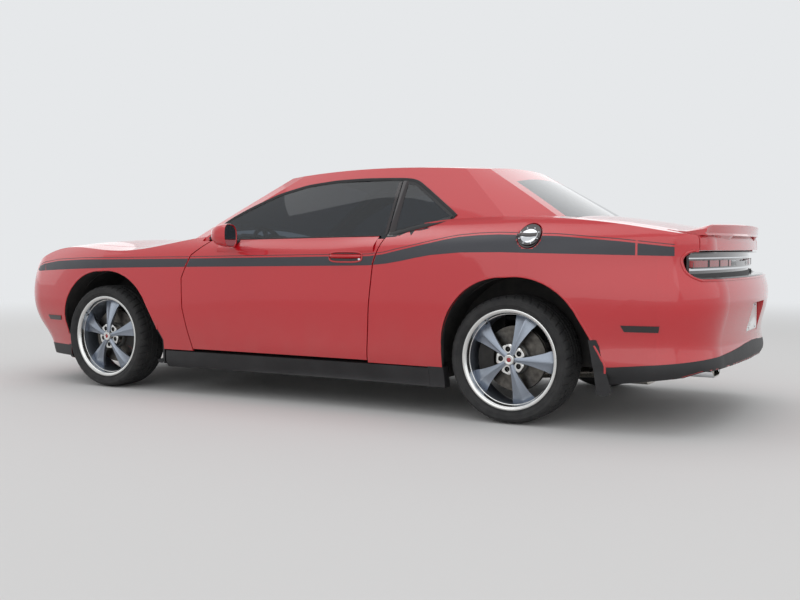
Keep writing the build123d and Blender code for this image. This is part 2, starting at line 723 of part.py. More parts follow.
def plate_box(grow, x0, x1):
    """The place of the number plate."""
    y, z = PLATE_WIDTH / 2 + grow, PLATE_HEIGHT / 2 + grow
    return block(x0, x1, -y, y, PLATE_Z - z, PLATE_Z + z)


def tail_lamps():
    """Dark lamp panel in the tail's recess, with a light bar across it."""
    slot = lamp_slot(-SEAT_GAP)
    back = arc_wall(LAMP_X, 12, 800, LAMP_BOW, LAMP_Z - 68, LAMP_Z + 68) & slot
    tube = ((slot & lower_body(6)) - lamp_slot(-7)) - block(-2300, -2000, -900, 900, 700, 1000)
    bar = arc_wall(LAMP_X - 16, 16, 780, LAMP_BOW, LAMP_Z - 16, LAMP_Z + 16)
    return back + tube + bar


def exhaust_tips(grow=0.0):
    tips = Part()
    for y in (-610, 610):
        outline = RectangleRounded(56 + 2 * grow, 150 + 2 * grow, 26)
        tips += Pos(-2250, y, 318) * Rot(0, -90, 0) * extrude(outline, 150)
    return tips


def exhaust():
    tips = exhaust_tips() - (Pos(-2262, 610, 318) * Rot(0, -90, 0) * extrude(RectangleRounded(48, 142, 22), 150))
    tips -= Pos(-2262, -610, 318) * Rot(0, -90, 0) * extrude(RectangleRounded(48, 142, 22), 150)
    pipes = Part()
    for y in (-1, 1):
        can = Pos(-2040, 500 * y, 290) * Rot(0, 90, 0) * extrude(RectangleRounded(150, 230, 60), 120)
        pipes += can
        pipes += rod((-2251, 610 * y, 318), (-2030, 560 * y, 300), 32)
        pipes += rod((-1921, 500 * y, 290), (-1800, 380 * y, 250), 32)
        pipes += rod((-1810, 385 * y, 252), (-1100, 120 * y, 168), 30)
        pipes += rod((-1110, 122 * y, 168), (900, 120 * y, 160), 30)
    return tips + pipes


def floor_pan():
    """Floor, tunnel, rockers, firewall, boot floor and rear bulkhead."""
    plate = block(SILL_REAR_X, 1090, -ROCKER_IN_Y, ROCKER_IN_Y, FLOOR_Z, FLOOR_Z + FLOOR_THICK)
    tunnel = block(SILL_REAR_X, 1090, -TUNNEL_Y, TUNNEL_Y, FLOOR_Z, TUNNEL_Z)
    tunnel_hollow = block(SILL_REAR_X, 1092, 15 - TUNNEL_Y, TUNNEL_Y - 15, 0, TUNNEL_Z - 15)
    rocker = block(SILL_REAR_X, SILL_FRONT_X, ROCKER_IN_Y, ROCKER_OUT_Y, SILL_BOTTOM + 12, ROCKER_TOP)
    low = block(SILL_REAR_X, SILL_FRONT_X, ROCKER_IN_Y, 1000, SILL_BOTTOM + 12, SILL_TOP + 4)
    low &= lower_sides(SKIN + SEAT_GAP)
    sills = both(rocker + low + hinge_arms())
    between_houses = FRONT_HOUSE_Y - HOUSE_WALL - 1
    firewall = block(1068, 1092, -between_houses, between_houses, FLOOR_Z, 760)
    firewall += block(1068, 1092, -ROCKER_IN_Y, ROCKER_IN_Y, FLOOR_Z, 300)
    bulkhead = block(SILL_REAR_X - 20, SILL_REAR_X + 4, -ROCKER_IN_Y, ROCKER_IN_Y, FLOOR_Z, 560)
    side = REAR_HOUSE_Y - 13
    seat_ramp = block(-1500, SILL_REAR_X, -side, side, SEAT_RAMP_Z, SEAT_RAMP_Z + 20)
    boot = block(-2395, -1480, -side, side, 420, 440) & lower_sides(SKIN + 1)
    step = block(-1500, -1480, -side, side, 420, 560)
    return (plate + tunnel + sills + firewall + bulkhead + seat_ramp + boot + step) - tunnel_hollow


def sill_covers():
    cover = side_layer(0, SKIN, block(SILL_REAR_X, SILL_FRONT_X, 500, 1100, SILL_BOTTOM, SILL_TOP + 4))
    return both(cover)


def parcel_shelf():
    """Strip under the rear glass and the shelf ahead of it."""
    strip = layer(10, 34, block(-1760, -1480, -STRIP_Y, STRIP_Y, 1000, 1200))
    strip = strip - deck_outline(SHUT_GAP) - CABIN_CLEAR
    x, z = DECK_HINGE
    for y in (-DECK_HINGE_Y, DECK_HINGE_Y):
        strip -= block(x - 60, x + 14, y - 16, y + 16, 1000, 1200)
        strip += disc_y(x, y - 22, y + 22, z, PIN_RADIUS)
    shelf = block(-1560, -1180, -640, 640, 960, 980)
    wall = block(-1200, -1180, 14 - REAR_HOUSE_Y, REAR_HOUSE_Y - 14, 560 + SEAT_GAP, 960)
    return strip + shelf + wall


def fuel_flap():
    """Round fuel cap that stands proud of the wing, with a gap all round and under it."""
    disc = (disc_y(FUEL_X, 800, 1000, FUEL_Z, FUEL_RADIUS) & lower_body(-FUEL_PROUD)) - lower_body(FUEL_UNDER)
    return disc + along_flap(8, 7.5) - along_flap(60, PIN_RADIUS + SEAT_GAP)


def side_markers():
    rear = side_layer(-4, -SEAT_GAP, region([(-1990, 552), (-2178, 552), (-2172, 520), (-2008, 520)]))
    front = side_layer(-4, -SEAT_GAP, region([(2150, 470), (1990, 470), (2004, 438), (2140, 438)]))
    return Compound(children=[s for half in (rear, front) for s in both(half).solids()])


def mud_flaps():
    """A flap at the back edge of each wheel opening."""
    solids = []
    for axle_x in (FRONT_AXLE_X, REAR_AXLE_X):
        (x4, z4), (x5, z5) = ARCH[4], ARCH[5]
        high = 470.0
        x_high = axle_x + x5 + (x4 - x5) * (high - z5) / (z4 - z5) + SEAT_GAP
        x_low = axle_x + x5 + SEAT_GAP
        outline = [(x_high + 14, high), (x_high, high), (x_low, z5), (x_low, 190), (x_low + 14, 190), (x_low + 14, z5)]
        flap = side_prism(outline, 802, 932) & lower_sides(6)
        solids += both(flap).solids()
    return Compound(children=solids)


def spoiler():
    """Duck tail on the deck lid, following the tail in plan."""
    blade = arc_wall(SPOILER_X, SPOILER_CHORD, SPOILER_HALF, LAMP_BOW + 12, 985, 1090)
    under = side_prism([(-2100, 1019), (-2300, 1012), (-2500, 1036), (-2500, 900), (-2100, 900)], -800, 800)
    over = side_prism([(-2100, 1012), (-2240, 1030), (-2380, 1052), (-2500, 1080), (-2500, 1200), (-2100, 1200)],
                      -800, 800)
    return (blade - under - over) - BODY_CLEAR


def tyre():
    """Tyre ring about Y, its middle at the origin."""
    half, shoulder = TYRE_WIDTH / 2, 26.0
    flange, seat = RIM_WIDTH / 2 - 8 - SEAT_GAP, RIM_LIP + SEAT_GAP
    upper = [(BEAD, flange), (seat, flange), (seat, flange + 10), (BEAD + 48, half), (TYRE_RADIUS - 40, half - 4),
             (TYRE_RADIUS - 6, half - shoulder), (TYRE_RADIUS, half - shoulder - 22)]
    section = upper + [(r, -y) for r, y in reversed(upper)]
    return revolve(make_face(Polyline(*section, close=True)), Axis.Y)


def spoke():
    """One spoke: narrow at the hub, broad and set back at the rim, with a ridge down its middle."""
    sections = []
    # Columns: radius, half width, front y, depth at the edge
    for r, half, front, edge in [(40, 34, 88, 16), (120, 30, 84, 16), (190, 44, 74, 15), (246, 66, 60, 14)]:
        points = [(-half, front - edge, r), (0, front, r), (half, front - edge, r), (half * 0.7, front - 30, r),
                  (-half * 0.7, front - 30, r)]
        sections.append(Wire([Edge.make_line(points[i], points[(i + 1) % 5]) for i in range(5)]))
    return Solid.make_loft(sections, True)


def rim():
    """Wheel with hub and brake disc, about Y, outer side at +Y."""
    lip = RIM_WIDTH / 2
    barrel = revolve(make_face(Polyline((BEAD - 1, -lip), (RIM_LIP, -lip), (RIM_LIP, -lip + 8), (BEAD - 0.5, -lip + 8),
                                        (BEAD - 0.5, lip - 8), (RIM_LIP, lip - 8), (RIM_LIP, lip), (BEAD + 2, lip),
                                        (BEAD - 14, lip - 50), (BEAD - 14, -lip), close=True)), Axis.Y)
    wheel = barrel
    for i in range(SPOKES):
        wheel += Rot(0, 360 / SPOKES * i + 180, 0) * spoke()
    wheel += disc_y(0, 18, 88, 0, HUB_RADIUS)
    wheel += disc_y(0, DISC_OUT, 22, 0, 88)
    wheel += disc_y(0, DISC_OUT - DISC_THICK, DISC_OUT, 0, DISC_RADIUS)
    return wheel


def place_wheel(shape, x, side, turn):
    turned = Rot(0, turn, 0) * (shape if side > 0 else Rot(0, 0, 180) * shape)
    return Pos(x, side * WHEEL_Y, AXLE_Z) * turned


def knuckle():
    """Front upright, left: hub carrier between its two ball joints, steering arm and brake caliper."""
    disc_face = WHEEL_Y + DISC_OUT - DISC_THICK
    inner = disc_face - HUB_GAP
    carrier = disc_y(FRONT_AXLE_X, inner - 50, inner, AXLE_Z, 52)
    carrier += disc_y(FRONT_AXLE_X, inner - 10, disc_face - SEAT_GAP, AXLE_Z, 34)
    post = Pos(FRONT_AXLE_X, KINGPIN_Y, LOWER_BALL_Z) * Cylinder(22, UPPER_BALL_Z - LOWER_BALL_Z, align=ON_BASE)
    arm = block(FRONT_AXLE_X - 150, FRONT_AXLE_X, inner - 50, inner - 20, 300, 330)
    return carrier + post + arm + caliper(FRONT_AXLE_X, -1)


def caliper(x, side):
    """A caliper over the disc's rim, ahead of the axle or behind it."""
    disc_face = WHEEL_Y + DISC_OUT
    body = ring_y(x, disc_face - DISC_THICK - 30, disc_face + 22, AXLE_Z, 208, 118)
    body -= ring_y(x, disc_face - DISC_THICK - 5, disc_face + 5, AXLE_Z, DISC_RADIUS + 6, 60)
    wedge = side_prism([(x, AXLE_Z), (x + side * 300, AXLE_Z + 150), (x + side * 300, AXLE_Z - 150)], 600, 1000)
    lug = block(x + side * 40, x + side * 140, disc_face - DISC_THICK - 52, disc_face - DISC_THICK - 20,
                AXLE_Z - 40, AXLE_Z + 40)
    return (body & wedge) + lug


def front_subframe():
    """Cross member, rails, strut towers, and the arms whose ends hold the knuckles."""
    piece = block(FRONT_AXLE_X - 180, FRONT_AXLE_X + 120, -400, 400, 190, 280)
    piece += block(2230, 2300, -600, 600, 400, 500)
    tower_y = FRONT_HOUSE_Y - HOUSE_WALL - 1
    engine_bottom = ENGINE_Z - ENGINE[2] / 2
    for y in (-210, 210):
        piece += block(FRONT_AXLE_X - 60, FRONT_AXLE_X + 60, y - 40, y + 40, 270, engine_bottom - SEAT_GAP)
    for side in (-1, 1):
        piece += block(1092, 2250, side * 400, side * 470, 400, 500)
        piece += block(FRONT_AXLE_X - 90, FRONT_AXLE_X + 30, side * 380, side * 440, 250, 420)
        piece += block(FRONT_AXLE_X - 100, FRONT_AXLE_X + 60, side * 400, side * tower_y, 490, 860)
        for ball_z, side_z in ((LOWER_BALL_Z - 13, 235), (UPPER_BALL_Z + 13, 520)):
            eye = Pos(FRONT_AXLE_X, side * KINGPIN_Y, ball_z) * Cylinder(24, 26 - 2 * SEAT_GAP)
            piece += eye
            piece += rod((FRONT_AXLE_X - 50, side * 395, side_z), (FRONT_AXLE_X, side * KINGPIN_Y, ball_z), 11)
            piece += rod((FRONT_AXLE_X + 30, side * 395, side_z), (FRONT_AXLE_X, side * KINGPIN_Y, ball_z), 11)
    return piece


def rear_axle():
    """Final drive, half shafts, hub carriers with calipers, and cross member."""
    case = block(REAR_AXLE_X - 160, REAR_AXLE_X + 160, -130, 130, 230, 400)
    unit = case + rod((REAR_AXLE_X, -130, AXLE_Z), (REAR_AXLE_X, 130, AXLE_Z), 60)
    unit += block(REAR_AXLE_X - 40, REAR_AXLE_X + 40, -500, 500, 370, 419)
    for y in (-440, 440):
        unit += block(REAR_AXLE_X - 40, REAR_AXLE_X + 40, y - 30, y + 30, 419, SEAT_RAMP_Z - SEAT_GAP)
    disc_face = WHEEL_Y + DISC_OUT - DISC_THICK
    inner = disc_face - HUB_GAP
    for side in (-1, 1):
        unit += rod((REAR_AXLE_X, side * 120, AXLE_Z), (REAR_AXLE_X, side * (inner - 40), AXLE_Z), 24)
        unit += rod((REAR_AXLE_X - 20, side * 460, 390), (REAR_AXLE_X, side * (inner - 30), 330), 22)
        carrier = disc_y(REAR_AXLE_X, inner - 50, inner, AXLE_Z, 60) + caliper(REAR_AXLE_X, 1)
        carrier += disc_y(REAR_AXLE_X, inner - 10, disc_face - SEAT_GAP, AXLE_Z, 34)
        unit += carrier if side > 0 else right(carrier)
    return unit


def engine():
    length, width, height = ENGINE
    return Pos(ENGINE_X, 0, ENGINE_Z) * Box(length, width, height)


def dashboard():
    body = block(700, 1068 - SEAT_GAP, -700, 700, 720, 900) - block(600, 820, -720, 720, 600, 770)
    x, y, z = STEER_WHEEL
    ends = []
    for reach in (HUB_THICK / 2 + SEAT_GAP, COLUMN_LENGTH):
        ends.append((x + reach * cos(radians(COLUMN_TILT)), y, z - reach * sin(radians(COLUMN_TILT))))
    column = rod(ends[0], ends[1], 22)
    console = block(100, 820, -110, 110, TUNNEL_Z + SEAT_GAP, 560)
    return (body & lower_sides(DOOR_THICK + 30)) + column + console


def seats():
    """Two front seats, and a rear bench that bridges the tunnel."""
    floor = FLOOR_Z + FLOOR_THICK + SEAT_GAP
    solids = []
    for side in (-1, 1):
        y = side * SEAT_Y
        cushion = block(-260, 260, y - 210, y + 210, floor, 470)
        back = Pos(-330, y, 470) * Rot(0, -20, 0) * block(-60, 60, -210, 210, -180, 420)
        head = Pos(-330, y, 470) * Rot(0, -20, 0) * block(-45, 45, -140, 140, 415, 590)
        solids += (cushion + back + head).solids()
    bench = block(-900, -640, -600, 600, floor, 460) - block(-950, -600, -TUNNEL_Y - 1, TUNNEL_Y + 1, 0, TUNNEL_Z + 1)
    rear_back = block(-1000, SILL_REAR_X - SEAT_GAP, -600, 600, 560 + SEAT_GAP, 900)
    solids += bench.solids() + rear_back.solids()
    return Compound(children=solids)


def steering_wheel():
    ring = Torus(STEER_WHEEL_R - 14, 14)
    hub = Cylinder(60, HUB_THICK)
    wheel = ring + hub
    for angle in (0, 180, 270):
        wheel += Rot(0, 0, angle) * block(30, STEER_WHEEL_R - 12, -18, 18, -8, 8)
    return Pos(*STEER_WHEEL) * Rot(0, -90 + COLUMN_TILT, 0) * wheel


def mirror_housing():
    shell = Pos(430, 1010, 1012) * Box(150, 200, 150)
    shell = fillet(shell.edges(), 40)
    stalk = rod((500, 850, 968), (440, 960, 985), 20) - BODY_CLEAR - CABIN_CLEAR
    return shell + stalk


def main():
    left_fender = fender()
    left_quarter = quarter()
    left_door = door()
    left_glass = door_glass()
    left_mirror = mirror_housing()
    left_knuckle = knuckle()
    pairs = {
        "fender": left_fender, "quarter": left_quarter, "door": left_door, "door_glass": left_glass,
        "mirror": left_mirror, "knuckle": left_knuckle,
    }
    for name, shape in pairs.items():
        write(shape, f"{name}_left")
        write(right(shape), f"{name}_right")
    ring, wheel = tyre(), rim()
    for end, x, turn in (("front", FRONT_AXLE_X, FRONT_TURN), ("rear", REAR_AXLE_X, REAR_TURN)):
        for hand, side in (("left", 1), ("right", -1)):
            write(place_wheel(ring, x, side, 0), f"tyre_{end}_{hand}")
            write(place_wheel(wheel, x, side, turn), f"rim_{end}_{hand}")
    singles = [
        floor_pan, sill_covers, roof, cowl, front_fascia, chin_spoiler, grille, headlamps, rear_fascia,
        tail_lamps, exhaust, fixed_glass, mud_flaps, dashboard, seats, parcel_shelf, front_subframe, rear_axle,
        fuel_flap, side_markers, hood, decklid, spoiler, steering_wheel,
    ]
    for make in singles:
        write(make(), make.__name__)
    write(engine(), "engine_block")


if __name__ == "__main__":
    main()
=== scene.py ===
# Two-door muscle car: red enamel, charcoal side stripe, five-spoke wheels. Metres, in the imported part's frame.
import math
import bpy
import bmesh
import numpy as np
from mathutils import Matrix, Vector
from mathutils.bvhtree import BVHTree


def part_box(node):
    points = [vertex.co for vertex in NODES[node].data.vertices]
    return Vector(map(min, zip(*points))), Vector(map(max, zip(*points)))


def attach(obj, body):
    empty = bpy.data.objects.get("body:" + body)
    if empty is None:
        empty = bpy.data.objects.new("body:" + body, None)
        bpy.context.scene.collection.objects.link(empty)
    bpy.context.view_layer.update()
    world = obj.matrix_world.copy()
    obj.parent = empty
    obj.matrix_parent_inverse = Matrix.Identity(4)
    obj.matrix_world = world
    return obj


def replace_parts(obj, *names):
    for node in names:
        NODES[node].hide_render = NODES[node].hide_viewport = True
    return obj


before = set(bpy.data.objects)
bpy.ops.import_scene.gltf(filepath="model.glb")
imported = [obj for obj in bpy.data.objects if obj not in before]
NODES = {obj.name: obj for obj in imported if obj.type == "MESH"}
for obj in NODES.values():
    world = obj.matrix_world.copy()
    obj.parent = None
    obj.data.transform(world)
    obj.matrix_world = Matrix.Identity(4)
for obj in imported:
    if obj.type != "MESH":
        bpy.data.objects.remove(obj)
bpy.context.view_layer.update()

# Shared places, in metres
FRONT_AXLE_X = 1.566
REAR_AXLE_X = -1.380
WHEEL_Y = 0.802
AXLE_Z = 0.344
# How far each wheel is turned about its axle, in degrees
FRONT_TURN = 34.0
REAR_TURN = 16.0

SIDES = (("left", 1), ("right", -1))
AXLES = (("front", FRONT_AXLE_X, FRONT_TURN), ("rear", REAR_AXLE_X, REAR_TURN))


def linear(colour):
    """An sRGB hex colour as the linear RGBA that Blender's shaders take."""
    out = []
    for i in (0, 2, 4):
        c = int(colour[i:i + 2], 16) / 255
        out.append(c / 12.92 if c <= 0.04045 else ((c + 0.055) / 1.055) ** 2.4)
    return (*out, 1.0)


# Camera: at the photograph's place, turned only about the vertical and tipped slightly down
CAMERA_AT = (-3.437, 5.761, 0.938)
CAMERA_YAW = 0.5104
CAMERA_PITCH = -0.0522
CAMERA_LENS = 44.48
camera_data = bpy.data.cameras.new("camera")
camera_data.lens = CAMERA_LENS
camera_data.sensor_width = 36.0
camera = bpy.data.objects.new("camera", camera_data)
camera.location = CAMERA_AT
view = Vector((math.sin(CAMERA_YAW) * math.cos(CAMERA_PITCH), -math.cos(CAMERA_YAW) * math.cos(CAMERA_PITCH),
               math.sin(CAMERA_PITCH)))
camera.rotation_euler = view.to_track_quat("-Z", "Y").to_euler()
bpy.context.scene.collection.objects.link(camera)
bpy.context.scene.camera = camera
bpy.context.scene.view_settings.view_transform = "Standard"


# Materials

def add_node(tree, kind, settings=None, inputs=None):
    """One node with its settings, and its inputs set to values or linked to sockets. A Texture Coordinate node's
    Object output is the surface point in the part's own frame, in metres."""
    made = tree.nodes.new(kind)
    for name, value in (settings or {}).items():
        setattr(made, name, value)
    for name, value in (inputs or {}).items():
        if isinstance(value, bpy.types.NodeSocket):
            tree.links.new(value, made.inputs[name])
        else:
            made.inputs[name].default_value = value
    return made


def new_material(name, colour, roughness, **shader):
    """A material with its Principled shader. Shader inputs are given with _ for a space."""
    material = bpy.data.materials.new(name)
    material.use_nodes = True
    tree = material.node_tree
    surface = tree.nodes["Principled BSDF"]
    surface.inputs["Base Color"].default_value = linear(colour)
    surface.inputs["Roughness"].default_value = roughness
    for key, value in shader.items():
        surface.inputs[key.replace("_", " ")].default_value = value
    return material, tree, surface


def grain(tree, surface, millimetres, height, detail=2.0, distance=0.001):
    """A bumpy grain whose lumps are that many millimetres across."""
    place = add_node(tree, "ShaderNodeTexCoord").outputs["Object"]
    noise = add_node(tree, "ShaderNodeTexNoise", None, {
        "Vector": place, "Scale": 1000.0 / millimetres, "Detail": detail})
    bump = add_node(tree, "ShaderNodeBump", None, {
        "Height": noise.outputs["Fac"], "Strength": height, "Distance": distance})
    tree.links.new(bump.outputs["Normal"], surface.inputs["Normal"])
    return noise


def mottle(tree, surface, socket, low, high, millimetres):
    """The shader's colour or number wanders between two values, over patches of that size."""
    place = add_node(tree, "ShaderNodeTexCoord").outputs["Object"]
    noise = add_node(tree, "ShaderNodeTexNoise", None, {
        "Vector": place, "Scale": 1000.0 / millimetres, "Detail": 4.0})
    share = add_node(tree, "ShaderNodeMapRange", None, {
        "Value": noise.outputs["Fac"], "From Min": 0.3, "From Max": 0.7})
    if isinstance(low, str):
        mix = add_node(tree, "ShaderNodeMix", {"data_type": "RGBA"}, {
            0: share.outputs["Result"], 6: linear(low), 7: linear(high)})
        tree.links.new(mix.outputs[2], surface.inputs[socket])
    else:
        share.inputs["To Min"].default_value = low
        share.inputs["To Max"].default_value = high
        tree.links.new(share.outputs["Result"], surface.inputs[socket])


def axle_radius(tree):
    """How far a point of a wheel piece lies from the axle, in metres."""
    place = add_node(tree, "ShaderNodeTexCoord").outputs["Object"]
    flat = add_node(tree, "ShaderNodeVectorMath", {"operation": "MULTIPLY"}, {0: place, 1: (1.0, 0.0, 1.0)})
    return add_node(tree, "ShaderNodeVectorMath", {"operation": "LENGTH"}, {0: flat.outputs[0]}).outputs["Value"]


ENAMEL = "c00c1c"


def red_enamel():
    """Baked red enamel under clear lacquer: deep gloss with a faint orange peel, a thin film of road dust low down."""
    material, tree, surface = new_material("red_enamel", ENAMEL, 0.34, Coat_Weight=1.0, Coat_Roughness=0.035,
                                           Coat_IOR=1.5)
    grain(tree, surface, 9.0, 0.012)
    place = add_node(tree, "ShaderNodeTexCoord").outputs["Object"]
    height = add_node(tree, "ShaderNodeSeparateXYZ", None, {"Vector": place}).outputs["Z"]
    low = add_node(tree, "ShaderNodeMapRange", None, {
        "Value": height, "From Min": 0.62, "From Max": 0.20, "To Min": 0.0, "To Max": 1.0})
    cloud = add_node(tree, "ShaderNodeTexNoise", None, {"Vector": place, "Scale": 6.0, "Detail": 5.0})
    dust = add_node(tree, "ShaderNodeMath", {"operation": "MULTIPLY"}, {
        0: low.outputs["Result"], 1: cloud.outputs["Fac"]})
    share = add_node(tree, "ShaderNodeMath", {"operation": "MULTIPLY"}, {0: dust.outputs[0], 1: 0.22})
    mix = add_node(tree, "ShaderNodeMix", {"data_type": "RGBA"}, {
        0: share.outputs[0], 6: linear(ENAMEL), 7: linear("9a8078")})
    tree.links.new(mix.outputs[2], surface.inputs["Base Color"])
    return material


def charcoal_vinyl():
    """Cast vinyl film: charcoal, satin, with the fine pebble of its backing just showing."""
    material, tree, surface = new_material("charcoal_vinyl", "37383e", 0.42, Specular_IOR_Level=0.5)
    grain(tree, surface, 4.0, 0.05)
    mottle(tree, surface, "Roughness", 0.36, 0.48, 160.0)
    return material


def moulded_abs():
    """Black ABS moulding with a leather-like etched grain, drawn at 3 mm so that it shows; greyed by road dust."""
    material, tree, surface = new_material("moulded_abs", "1c1c1f", 0.55)
    grain(tree, surface, 3.0, 0.35, detail=3.0)
    mottle(tree, surface, "Base Color", "19191b", "2a2a2c", 220.0)
    return material


def smoked_acrylic():
    """Smoked acrylic of the tail-lamp panel: near black with a reddish cast and a hard gloss."""
    material, tree, surface = new_material("smoked_acrylic", "14090b", 0.08, IOR=1.49, Coat_Weight=0.6,
                                           Coat_Roughness=0.03)
    mottle(tree, surface, "Base Color", "120a0c", "1d0c10", 90.0)
    return material


def red_acrylic():
    """Clear red moulded acrylic with a fine prism pattern behind it, 6 mm pitch, and a faint painted glow."""
    # The faint red emission set here is a painted glow, which the red centres of the wheel caps share.
    material, tree, surface = new_material("red_acrylic", "8c0a14", 0.1, IOR=1.49, Coat_Weight=0.8,
                                           Coat_Roughness=0.03, Emission_Strength=0.05)
    surface.inputs["Emission Color"].default_value = linear("c01020")
    place = add_node(tree, "ShaderNodeTexCoord").outputs["Object"]
    cells = add_node(tree, "ShaderNodeTexVoronoi", None, {"Vector": place, "Scale": 1000.0 / 6.0})
    bump = add_node(tree, "ShaderNodeBump", None, {
        "Height": cells.outputs["Distance"], "Strength": 0.4, "Distance": 0.001})
    tree.links.new(bump.outputs["Normal"], surface.inputs["Normal"])
    return material


def weathered_rubber(name, colour, roughness, dusty, millimetres):
    """Vulcanised rubber: dull black, greyed where dust holds in its fine moulded texture."""
    material, tree, surface = new_material(name, colour, roughness)
    grain(tree, surface, millimetres, 0.3, detail=3.0)
    mottle(tree, surface, "Base Color", colour, dusty, 60.0)
    return material


def tinted_glass():
    """Tempered glass under a dark film: smooth, almost no wave, the cabin only just shows through."""
    material, tree, surface = new_material("tinted_glass", "46505a", 0.0, IOR=1.45, Transmission_Weight=0.93,
                                           Coat_Weight=0.3, Coat_Roughness=0.0)
    grain(tree, surface, 260.0, 0.015, detail=0.0)
    return material


def clear_polycarbonate():
    """Clear moulded polycarbonate of the headlamps, the reversing lamps and the plate lamps."""
    material, tree, surface = new_material("clear_polycarbonate", "f4f6f8", 0.02, IOR=1.58, Transmission_Weight=1.0)
    grain(tree, surface, 40.0, 0.01, detail=0.0)
    return material


def plated_chrome():
    """Chrome plate on steel or ABS: mirror-bright, with patches of faint haze."""
    material, tree, surface = new_material("plated_chrome", "dfe1e4", 0.08, Metallic=1.0)
    mottle(tree, surface, "Roughness", 0.05, 0.14, 45.0)
    return material


def polished_aluminium():
    """Machined and polished aluminium rim lip: bright, with fine turning rings at a 1.5 mm pitch."""
    material, tree, surface = new_material("polished_aluminium", "dcdcda", 0.16, Metallic=1.0)
    turns = add_node(tree, "ShaderNodeMath", {"operation": "MULTIPLY"}, {
        0: axle_radius(tree), 1: 2 * math.pi * 1000.0 / 1.5})
    wave = add_node(tree, "ShaderNodeMath", {"operation": "SINE"}, {0: turns.outputs[0]})
    bump = add_node(tree, "ShaderNodeBump", None, {"Height": wave.outputs[0], "Strength": 0.05, "Distance": 0.0005})
    tree.links.new(bump.outputs["Normal"], surface.inputs["Normal"])
    mottle(tree, surface, "Roughness", 0.12, 0.24, 30.0)
    return material


def silver_grey_lacquer():
    """Cast aluminium spokes in dark silver lacquer: metal flakes, drawn at 1.2 mm so that they show, a soft gloss."""
    material, tree, surface = new_material("silver_grey_lacquer", "8d95a1", 0.34, Metallic=0.8, Coat_Weight=0.4,
                                           Coat_Roughness=0.12)
    flakes = grain(tree, surface, 1.2, 0.10, detail=1.0)
    mix = add_node(tree, "ShaderNodeMix", {"data_type": "RGBA"}, {
        0: flakes.outputs["Fac"], 6: linear("7d8591"), 7: linear("a3abb7")})
    tree.links.new(mix.outputs[2], surface.inputs["Base Color"])
    return material


def turned_iron():
    """Cast-iron brake disc, turned and worn bright by the pads: concentric scoring at a 3 mm pitch."""
    material, tree, surface = new_material("turned_iron", "5a5753", 0.38, Metallic=1.0)
    rings = add_node(tree, "ShaderNodeTexNoise", {"noise_dimensions": "1D"}, {
        "W": axle_radius(tree), "Scale": 1000.0 / 3.0, "Detail": 2.0})
    bump = add_node(tree, "ShaderNodeBump", None, {"Height": rings.outputs["Fac"], "Strength": 0.3,
                                                   "Distance": 0.001})
    tree.links.new(bump.outputs["Normal"], surface.inputs["Normal"])
    mottle(tree, surface, "Base Color", "4a4744", "67645f", 25.0)
    return material


def sand_cast(name, colour, roughness, metallic, millimetres):
    """A sand-cast or forged part left rough, smoother in patches where oil fills its grain."""
    material, tree, surface = new_material(name, colour, roughness, Metallic=metallic)
    grain(tree, surface, millimetres, 0.45, detail=4.0)
    mottle(tree, surface, "Roughness", roughness - 0.12, roughness + 0.12, 35.0)
    return material


def seat_leather():
    """Corrected-grain black leather: 2.5 mm pebbles, with a soft sheen."""
    material, tree, surface = new_material("seat_leather", "222226", 0.5, Sheen_Weight=0.15)
    place = add_node(tree, "ShaderNodeTexCoord").outputs["Object"]
    cells = add_node(tree, "ShaderNodeTexVoronoi", {"feature": "SMOOTH_F1"}, {
        "Vector": place, "Scale": 1000.0 / 2.5})
    bump = add_node(tree, "ShaderNodeBump", None, {
        "Height": cells.outputs["Distance"], "Strength": 0.35, "Distance": 0.0008})
    tree.links.new(bump.outputs["Normal"], surface.inputs["Normal"])
    mottle(tree, surface, "Roughness", 0.42, 0.58, 70.0)
    return material


def looped_carpet():
    """Tufted floor carpet with 4 mm loops: no shine, soft light at grazing angles."""
    material, tree, surface = new_material("looped_carpet", "19191c", 0.95, Sheen_Weight=0.3)
    grain(tree, surface, 4.0, 0.9, detail=3.0, distance=0.003)
    return material


def white_plate_paint():
    """White baked paint on a pressed aluminium number plate, slightly dusty."""
    material, tree, surface = new_material("white_plate_paint", "eceeee", 0.4, Coat_Weight=0.3)
    mottle(tree, surface, "Base Color", "eff1f1", "dddfdf", 80.0)
    return material


def brushed_steel():
    """Stainless exhaust steel: drawn tube with a light straw tint and dull patches from heat."""
    material, tree, surface = new_material("brushed_steel", "b3aea6", 0.28, Metallic=1.0)
    place = add_node(tree, "ShaderNodeTexCoord").outputs["Object"]
    stretch = add_node(tree, "ShaderNodeMapping", None, {"Vector": place, "Scale": (30.0, 900.0, 900.0)})
    lines = add_node(tree, "ShaderNodeTexNoise", None, {"Vector": stretch.outputs["Vector"], "Scale": 1.0})
    bump = add_node(tree, "ShaderNodeBump", None, {"Height": lines.outputs["Fac"], "Strength": 0.08,
                                                   "Distance": 0.0005})
    tree.links.new(bump.outputs["Normal"], surface.inputs["Normal"])
    mottle(tree, surface, "Roughness", 0.2, 0.42, 50.0)
    return material


def mirror_silver():
    """Silvered glass of the door mirrors, a little dark."""
    material, tree, surface = new_material("mirror_silver", "aab0b8", 0.02, Metallic=1.0)
    mottle(tree, surface, "Roughness", 0.01, 0.04, 30.0)
    return material


def caliper_enamel():
    """Heat-proof red enamel on cast calipers: half gloss, darkened in patches by brake dust."""
    material, tree, surface = new_material("caliper_enamel", "b0101c", 0.32, Coat_Weight=0.5, Coat_Roughness=0.15)
    grain(tree, surface, 2.0, 0.12)
    mottle(tree, surface, "Base Color", "b51220", "85141a", 30.0)
    return material


